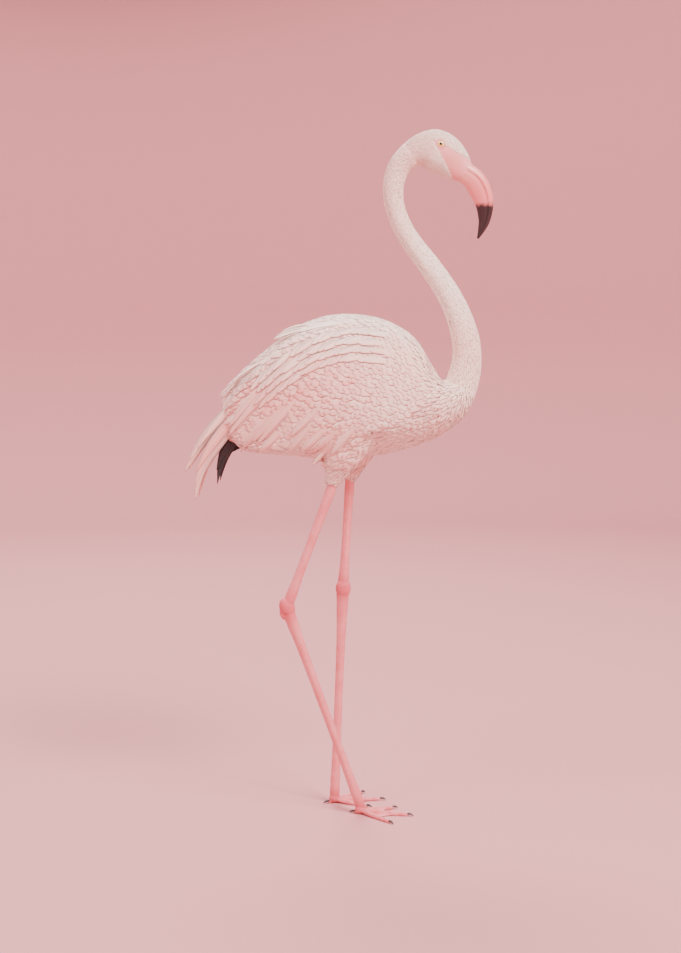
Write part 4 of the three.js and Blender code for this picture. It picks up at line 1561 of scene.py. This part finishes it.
# Places (x, z) from root to tip, half width
PLUMES = (
    (((-18, 857), (-66, 849), (-114, 831)), 6.5), (((-30, 860), (-72, 853), (-110, 834)), 6.0),
    (((30, 862), (-22, 858), (-70, 843)), 7.5), (((-104, 808), (-158, 775), (-207, 731)), 7.5),
    (((-112, 800), (-160, 769), (-200, 735)), 7.0), (((-92, 768), (-142, 727), (-190, 671)), 8.5),
    (((-110, 776), (-150, 734), (-190, 684)), 8.0), (((-60, 752), (-96, 708), (-142, 656)), 8.5),
    (((-76, 744), (-112, 700), (-150, 660)), 8.0), (((-98, 724), (-134, 686), (-169, 645)), 8.0),
    (((-86, 700), (-112, 666), (-141, 642)), 7.5), (((-40, 706), (-64, 672), (-89, 643)), 8.0),
    (((6, 694), (-26, 660), (-62, 637)), 8.5), (((2, 676), (-24, 648), (-47, 621)), 7.0),
    (((-14, 700), (-40, 668), (-68, 645)), 8.0), (((46, 706), (12, 672), (-14, 640)), 7.5),
    (((-140, 740), (-172, 706), (-198, 690)), 7.5), (((-20, 738), (-52, 702), (-84, 672)), 7.5),
)
# Each of those is several feathers: share of the length, shift sideways, share of the width, lift of the tip
CLUSTER = ((0.86, 4.5, 0.62, 3.0), (0.93, -3.5, 0.62, 3.3), (1.0, 0.0, 0.7, 4.0), (0.78, -6.5, 0.6, 2.8))


def side_plume(side, rows, low, high):
    """A spine through places seen from the side; it lies on the skin and runs on in space where that ends."""
    spine, normals = [], []
    outward, slope, normal = 60 * MM, 0.0, Vector((0, SIDES[side], 0))
    for t in np.linspace(0, 1, PLUME_STEPS):
        x, z = smooth_row(rows, t)
        hit = cast(side, x, z)
        if hit and (not spine or abs(hit[0].y) > outward - 9 * MM):
            slope = (abs(hit[0].y) - outward) * 0.5 if spine else 0.0
            outward, normal = abs(hit[0].y), hit[1]
        elif spine:
            slope = min(max(slope, -1.6 * MM), 0.0)
            outward += slope
        raised_by = (low + (high - low) * t) * MM
        spine.append(at(x, SIDES[side] * outward / MM, z) + normal * raised_by)
        normals.append(normal)
    return spine, normals


def shoulder_rows(side):
    """Spines, normals and half widths of the plumes in rows along the shoulder."""
    for rank, (drop, length, count) in enumerate(SCAPULAR_ROWS):
        for i in range(count):
            front = SCAPULAR_FRONT + 10 * math.sin(2.1 * rank)
            x = front - (SCAPULAR_SPAN / count) * (i + 0.5 * (rank % 2)) + dice.normal(0, 3)
            reach = length * dice.normal(1, 0.08)
            z = wing_top(x) - drop
            far = x - reach * 0.97
            z_far = wing_top(far) - drop - reach * 0.18
            rows = ((x, z), ((x + far) / 2, (z + z_far) / 2 + 2.5), (far, z_far))
            yield *side_plume(side, rows, 0.2, 3.7 + rank * 0.25), SCAPULAR_WIDTH * dice.normal(1, 0.06)


def hand_placed(side):
    """The same for the plumes listed one by one."""
    for rows, half_width in PLUMES:
        for reach, shift, wide, high in CLUSTER:
            cut = smooth_line(rows, 4, last=reach)
            cut += np.linspace(0.2, 1, 4)[:, None] * shift * np.array([0.75, -0.65])
            yield *side_plume(side, cut, 1.2, high), half_width * wide


for side in SIDES:
    plumes = [*shoulder_rows(side), *hand_placed(side)]
    spines, normals, half_widths = (np.array(column) for column in zip(*plumes))
    widths = tapered(PLUME_STEPS, LONG_TIP, half_widths)
    laid(
        f"scapulars_{side}", LONG_PLUME, "wing_plumage", spines, normals, widths, look_of(spines[:, 0], 0.02),
        section=8, arch=0.07, thickness=0.2,
    )

# %% [markdown]
# ## Long feathers behind
# Behind the body hang the tertials in two drooping points, and under them the black flight feathers just
# show. Their spines leave the body, so they are drawn in space. Each bunch is several blades of different
# lengths that lie on one another.

# %% Tertials and flight feathers
# x, y, z, half width from root to tip
TERTIAL_UPPER = (
    (-112, 58, 788, 10), (-163, 52, 742, 12), (-205, 44, 698, 12), (-243, 36, 654, 8.5), (-268, 31, 606, 0.5)
)
TERTIAL_LOWER = (
    (-112, 57, 762, 12), (-166, 51, 712, 15), (-209, 44, 660, 14), (-240.5, 37, 609, 9),
    (-250.5, 33, 557, 0.5),
)
FLIGHT_UPPER = (
    (-96, 46, 722, 12), (-142, 43, 694, 13), (-182, 38, 661, 12), (-204, 34, 626, 8), (-212, 32, 586, 0.5)
)
FLIGHT_LOWER = (
    (-96, 44, 706, 12), (-134, 41, 680, 12), (-158, 36, 664, 10), (-174, 33, 652, 6), (-186, 31, 641, 0.5)
)
# For each blade of a bunch: share of the length, shift in x, y and z, share of the width, tilt to the rear
UPPER_BLADES = (
    (0.80, 3, 4.5, 4, 0.55, 8), (0.88, -1.5, 3, 0, 0.62, 12), (1.0, 0, 1.5, 0, 0.72, 16),
    (0.93, 1.5, 0, -2.5, 0.66, 24), (0.84, 2.5, -3, -4, 0.66, 34), (0.97, 0.5, -6, -1, 0.6, 44),
    (0.9, 3, -10, -2, 0.7, 56),
)
LOWER_BLADES = (
    (0.78, -5, 3, 5, 0.6, 8), (0.88, -2.5, 1.5, 3, 0.62, 12), (1.0, 0, 0, 0, 0.72, 16),
    (0.93, 1, -2, -2, 0.62, 24), (0.82, 1.5, -4.5, -3, 0.66, 34), (0.96, 0, -7, 0, 0.55, 38),
    (0.72, 3, -9, -4, 0.7, 48), (0.8, 4, -13, -2, 0.7, 58),
)
FLIGHT_BLADES = (
    (0.86, -4, 2, 3, 0.7, 10), (1.0, 0, 0.7, 0, 0.8, 16), (0.92, 1, -1.5, -1, 0.75, 28),
    (0.8, 2, -4, -1.5, 0.75, 42), (0.7, 3, -8, 0, 0.75, 55),
)


def bunch_of(rows, blades, steps):
    """Blades that follow one spine: their places and half widths (x, y, z, half width), and their tilts."""
    for reach, x, y, z, wide, tilt in blades:
        cut = smooth_line(rows, len(rows), last=reach)
        cut[:, :3] += np.linspace(0.3, 1, len(rows))[:, None] * np.array([x, y, z])
        cut[:, 3] *= wide
        cut[-1, 3] = 0.5
        yield smooth_line(cut, steps), math.radians(tilt)


def free_blades(name, material, slot, blades, way, normals, replaced, thickness, flush_add=0.0):
    """Blades in space from rows of (x, y, z, half width); way -1 turns them over to the right side."""
    spines = np.array([[at(x, way * y, z) for x, y, z, _ in blade] for blade in blades])
    widths = np.array(blades)[..., 3].clip(0.05) * MM
    look = look_of(spines[:, 0], flush_add)
    laid(name, material, slot, spines, normals, widths, look, 8, 0.1, thickness, [replaced])


def hanging(name, material, slot, bunches, steps, replaced, flush_add=0.0):
    """Bunches of blades that hang on both sides."""
    blades, tilts = zip(*(blade for rows, kinds in bunches for blade in bunch_of(rows, kinds, steps)))
    for side, way in SIDES.items():
        normals = np.array([[(-math.sin(tilt), way * math.cos(tilt), 0.1)] for tilt in tilts])
        named = (f"{name}_{side}", material, slot, blades, way, normals, f"{replaced}_{side}")
        free_blades(*named, 0.28, flush_add)


tertials = ((TERTIAL_UPPER, UPPER_BLADES), (TERTIAL_LOWER, LOWER_BLADES))
flights = ((FLIGHT_UPPER, FLIGHT_BLADES), (FLIGHT_LOWER, FLIGHT_BLADES))
hanging("tertial_plumes", LONG_PLUME, "wing_plumage", tertials, 20, "tertials", 0.05)
hanging("flight_vanes", FLIGHT, "flight_feather", flights, 16, "primaries")

# %% [markdown]
# The tail is short and mostly hidden. Its feathers spread side by side under the body's end, the middle
# pair longest and uppermost.

# %% Tail
TAIL_BLADES, TAIL_STEPS = 16, 14
TAIL_TIP = (-243, 659)


def tail_rows(number):
    """Places and half widths of one tail feather, counted from the right."""
    out = number / (TAIL_BLADES - 1) * 2 - 1
    drop = 6 * abs(out)
    tip = TAIL_TIP[0] + 13 * out * out + 3 * (number % 2)
    last = TAIL_TIP[1] - drop + 0.6 * (tip - TAIL_TIP[0])
    return (
        (-140, out * 9, 730 - drop, 6),
        (-180, out * 18, 704 - drop, 7.5),
        (tip + 22, out * 25, last + 15, 7.5),
        (tip + 6, out * 28.5, last + 4, 4.5),
        (tip, out * 29, last, 0.8),
    )


tail = [smooth_line(tail_rows(number), TAIL_STEPS) for number in range(TAIL_BLADES)]
tail_up = unit(np.array([-0.6, 0.0, 0.8]))
free_blades("tail_feathers", LONG_PLUME, "body_plumage", tail, 1, tail_up, "tail", 0.3)

# %% [markdown]
# ## Plates on the legs
# Down the front and back of each shank and tarsus, and along the top of every toe, the scales are broad
# plates that overlap like tiles. They start as the same closed blades as the feathers, laid flat, and are
# then bent round the bone: every corner keeps its height over the skin, and the side edges sink into it.
# Elsewhere on the legs the scales are fine enough to be relief in the finish.

# %% Scale plates
# Share of the plate's length, width there
PLATE = ((0, 0.97), (0.7, 1.0), (0.92, 0.97), (1, 0.86))
PLATE_STEPS, PLATE_RING = 5, 8
PLATE_HEIGHTS = (0.02, 0.42)  # over the skin at the root and at the tip
PLATE_THICKNESS, PLATE_EDGE_SUNK = 0.16, 0.75
PLATE_OVERLAP = 1.4
FRONT_SPACING, BACK_SPACING, TOE_SPACING = 3.6, 4.2, 2.6
SHANK_PLATE, TARSUS_PLATE = 5.2, 4.9  # half widths
SHANK_SCALED, TARSUS_SCALED, TOE_SCALED = (0.02, 0.9), (0.07, 0.93), (0.14, 0.96)  # shares with plates


def plate_row(side, start, end, spacing, half_width, facing_to):
    """Roots and sizes of one row of plates down a limb, on the side of it that faces the given way."""
    long = (end - start).length
    for share in np.arange(spacing / 2, long, spacing) / long:
        outside = at(*(start.lerp(end, share) + facing_to * 30))
        place, _, _, _ = LEG_TREES[side].ray_cast(outside, -facing_to)
        if place is not None:
            yield place, (end - start).normalized(), spacing * PLATE_OVERLAP, half_width(share)


def limb_plates(side, start, end, scaled, wide):
    """The front and back rows of a shank or tarsus; the front plates are broader towards the joints."""
    down = (end - start).normalized()
    fore = (Vector((1, 0, 0)) - down * down.x).normalized()
    first, last = (start.lerp(end, share) for share in scaled)

    def front_width(share):
        return wide + 1.6 * abs(2 * share - 1) ** 4

    yield from plate_row(side, first, last, FRONT_SPACING, front_width, fore)
    yield from plate_row(side, first, last, BACK_SPACING, lambda share: wide * 0.8, -fore)


def toe_plates(side, toe):
    """The row along the top of one toe."""
    first, last = (Vector((*toe_point(side, toe, share * toe_reach(toe)), 4)) for share in TOE_SCALED)
    yield from plate_row(side, first, last, TOE_SPACING, lambda share: 3.1 - 0.9 * share, Vector((0, 0, 1)))


def bent_round(mesh, tree):
    """Bends flat plates round the limb they lie on."""
    ring = np.array(SECTIONS[PLATE_RING], float)
    for number, vertex in enumerate(mesh.vertices):
        step, turn = number // PLATE_RING % PLATE_STEPS, number % PLATE_RING
        near, normal, _, _ = tree.find_nearest(vertex.co)
        height = np.interp(step, (0, PLATE_STEPS - 1), PLATE_HEIGHTS) + PLATE_THICKNESS * ring[turn, 2]
        height -= PLATE_EDGE_SUNK * abs(ring[turn, 0]) ** 5
        vertex.co = near + normal * height * MM
        vertex.co.z = max(vertex.co.z, 0.0)


def leg_plates(side):
    """All the plates of one leg as one piece."""
    ankle, foot, top = hock(side), Vector(FOOT_JOINT[side]), Vector(THIGH_END[side])
    rows = [*limb_plates(side, top, ankle, SHANK_SCALED, SHANK_PLATE)]
    rows += limb_plates(side, ankle, foot, TARSUS_SCALED, TARSUS_PLATE)
    for toe in TOES:
        rows += toe_plates(side, toe)
    roots, headings, lengths, half_widths = (np.array(column) for column in zip(*rows))
    spines, normals = combed(roots, headings, lengths, PLATE_STEPS, 0.0, 0.0, LEG_TREES[side])
    down_leg = np.clip(1 - roots[:, 2] / MM / top.z, 0, 1)
    round_leg = 0.5 + 0.004 * (roots[:, 0] - ZERO_X) / MM
    plain = np.zeros(len(rows))
    bake = np.stack([0.02 + 0.96 * down_leg, np.clip(round_leg, 0.02, 0.98)], -1)
    look = {"flush": plain, "shade": plain, "bake": bake}
    widths = tapered(PLATE_STEPS, PLATE, half_widths)
    flat = (spines, normals, widths, look, PLATE_RING, 0.0, 0.12)
    mesh = laid(f"leg_{side}_plates", LEG, "leg_skin", *flat)
    bent_round(mesh, LEG_TREES[side])
    set_numbers(mesh, "joint", np.repeat(redness(roots, ankle, ANKLE_REACH), PLATE_STEPS * PLATE_RING))


for side in SIDES:
    leg_plates(side)

# %% [markdown]
# ## Floor, light and camera
# A bowl of pale rose stands for the ground and the wall in one, so the cream bird has something to stand
# out against from every side. It's one profile spun round. Straight walls would show their corners behind
# the bird.

# %% The ground
FLOOR_REACH, WALL_REACH, WALL_TOP = 4.2, 5.2, 5.0
BEND_STEPS, SPIN_STEPS = 10, 96


def bowl_profile():
    """The bowl's profile from the floor's edge round the bend and up the wall."""
    reach = WALL_REACH - FLOOR_REACH
    yield Vector((FLOOR_REACH, 0, 0))
    for step in range(1, BEND_STEPS + 1):
        angle = math.pi / 2 * step / BEND_STEPS
        yield Vector((FLOOR_REACH + reach * math.sin(angle), 0, reach * (1 - math.cos(angle))))
    yield Vector((WALL_REACH, 0, WALL_TOP))


def ground():
    """A round floor that curves up into a wall."""
    bm = bmesh.new()
    last = bmesh.ops.create_vert(bm, co=(0, 0, 0))["vert"][0]
    for place in bowl_profile():
        last = bmesh.ops.extrude_vert_indiv(bm, verts=[last])["verts"][0]
        last.co = place
    profile = bm.verts[:] + bm.edges[:]
    bmesh.ops.spin(bm, geom=profile, cent=(0, 0, 0), axis=(0, 0, 1), angle=2 * math.pi, steps=SPIN_STEPS)
    bmesh.ops.remove_doubles(bm, verts=bm.verts, dist=1e-5)
    bmesh.ops.recalc_face_normals(bm, faces=bm.faces)
    pale = finish("pale_ground", lambda tree: {"Base Color": (0.56, 0.235, 0.245), "Roughness": 0.9})
    dressed(mesh_of("ground", bm), pale)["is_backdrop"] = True


ground()

# %% [markdown]
# Large soft lamps bring out the relief of the plumage without hard shadows: a warm key in front of the
# bird on its right, a cooler fill behind it on the same side, and one on its left that lights its far
# edge. They hang high and off to the sides, and a pale world fills the shadows.

# %% Lamps
def lamp(name, place, aim_height, size, watts, tint):
    """A square soft lamp that looks at a height on the bird."""
    data = bpy.data.lights.new(name, "AREA")
    data.size, data.energy, data.color = size, watts, tint
    made = placed(name, data)
    made.location = place
    way = Vector((0, 0, aim_height)) - Vector(place)
    made.rotation_euler = way.to_track_quat("-Z", "Y").to_euler()
    made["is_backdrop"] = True


lamp("key", (2.6, -2.8, 4.2), 0.7, 2.2, 620, (1.0, 0.97, 0.93))
lamp("fill", (-3.2, -2.0, 4.0), 0.7, 2.6, 190, (0.95, 0.97, 1.0))
lamp("rim", (-1.0, 3.2, 4.3), 0.8, 2.4, 380, (1.0, 0.98, 0.96))
world = bpy.data.worlds.new("soft_air")
world.use_nodes = True
air = world.node_tree.nodes["Background"].inputs
feed(air["Color"], (0.90, 0.88, 0.88))
feed(air["Strength"], 0.38)
bpy.context.scene.world = world
print("lamps:", len(bpy.data.lights))

# %% [markdown]
# The camera stands more than two of the bird's heights away, with a lens to match, so that neck, body and
# legs keep their true proportions. A short lens close by would swell the body.

# %% Camera
CAMERA_PLACE = (0.0032, -2.576, 0.828)
CAMERA_TILT = 84.842  # degrees up from straight down
LENS, SENSOR = 55.743, 36.0


def camera():
    """A camera at chest height that looks a little down at the bird's right side."""
    data = bpy.data.cameras.new("camera")
    data.sensor_fit = "VERTICAL"
    data.sensor_width = data.sensor_height = SENSOR
    data.lens = LENS
    made = placed("camera", data)
    made.location = CAMERA_PLACE
    made.rotation_euler = (math.radians(CAMERA_TILT), 0, 0)
    bpy.context.scene.camera = made


camera()

# %% [markdown]
# ## Size, and finish
# The two boxes are kept side by side, so that the finished bird can be held against the frame's.

# %% Print the sizes and finish
sizes = {"cad": CAD_BOX, "visual": [list(corner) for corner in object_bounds()]}
print("sizes:", sizes)
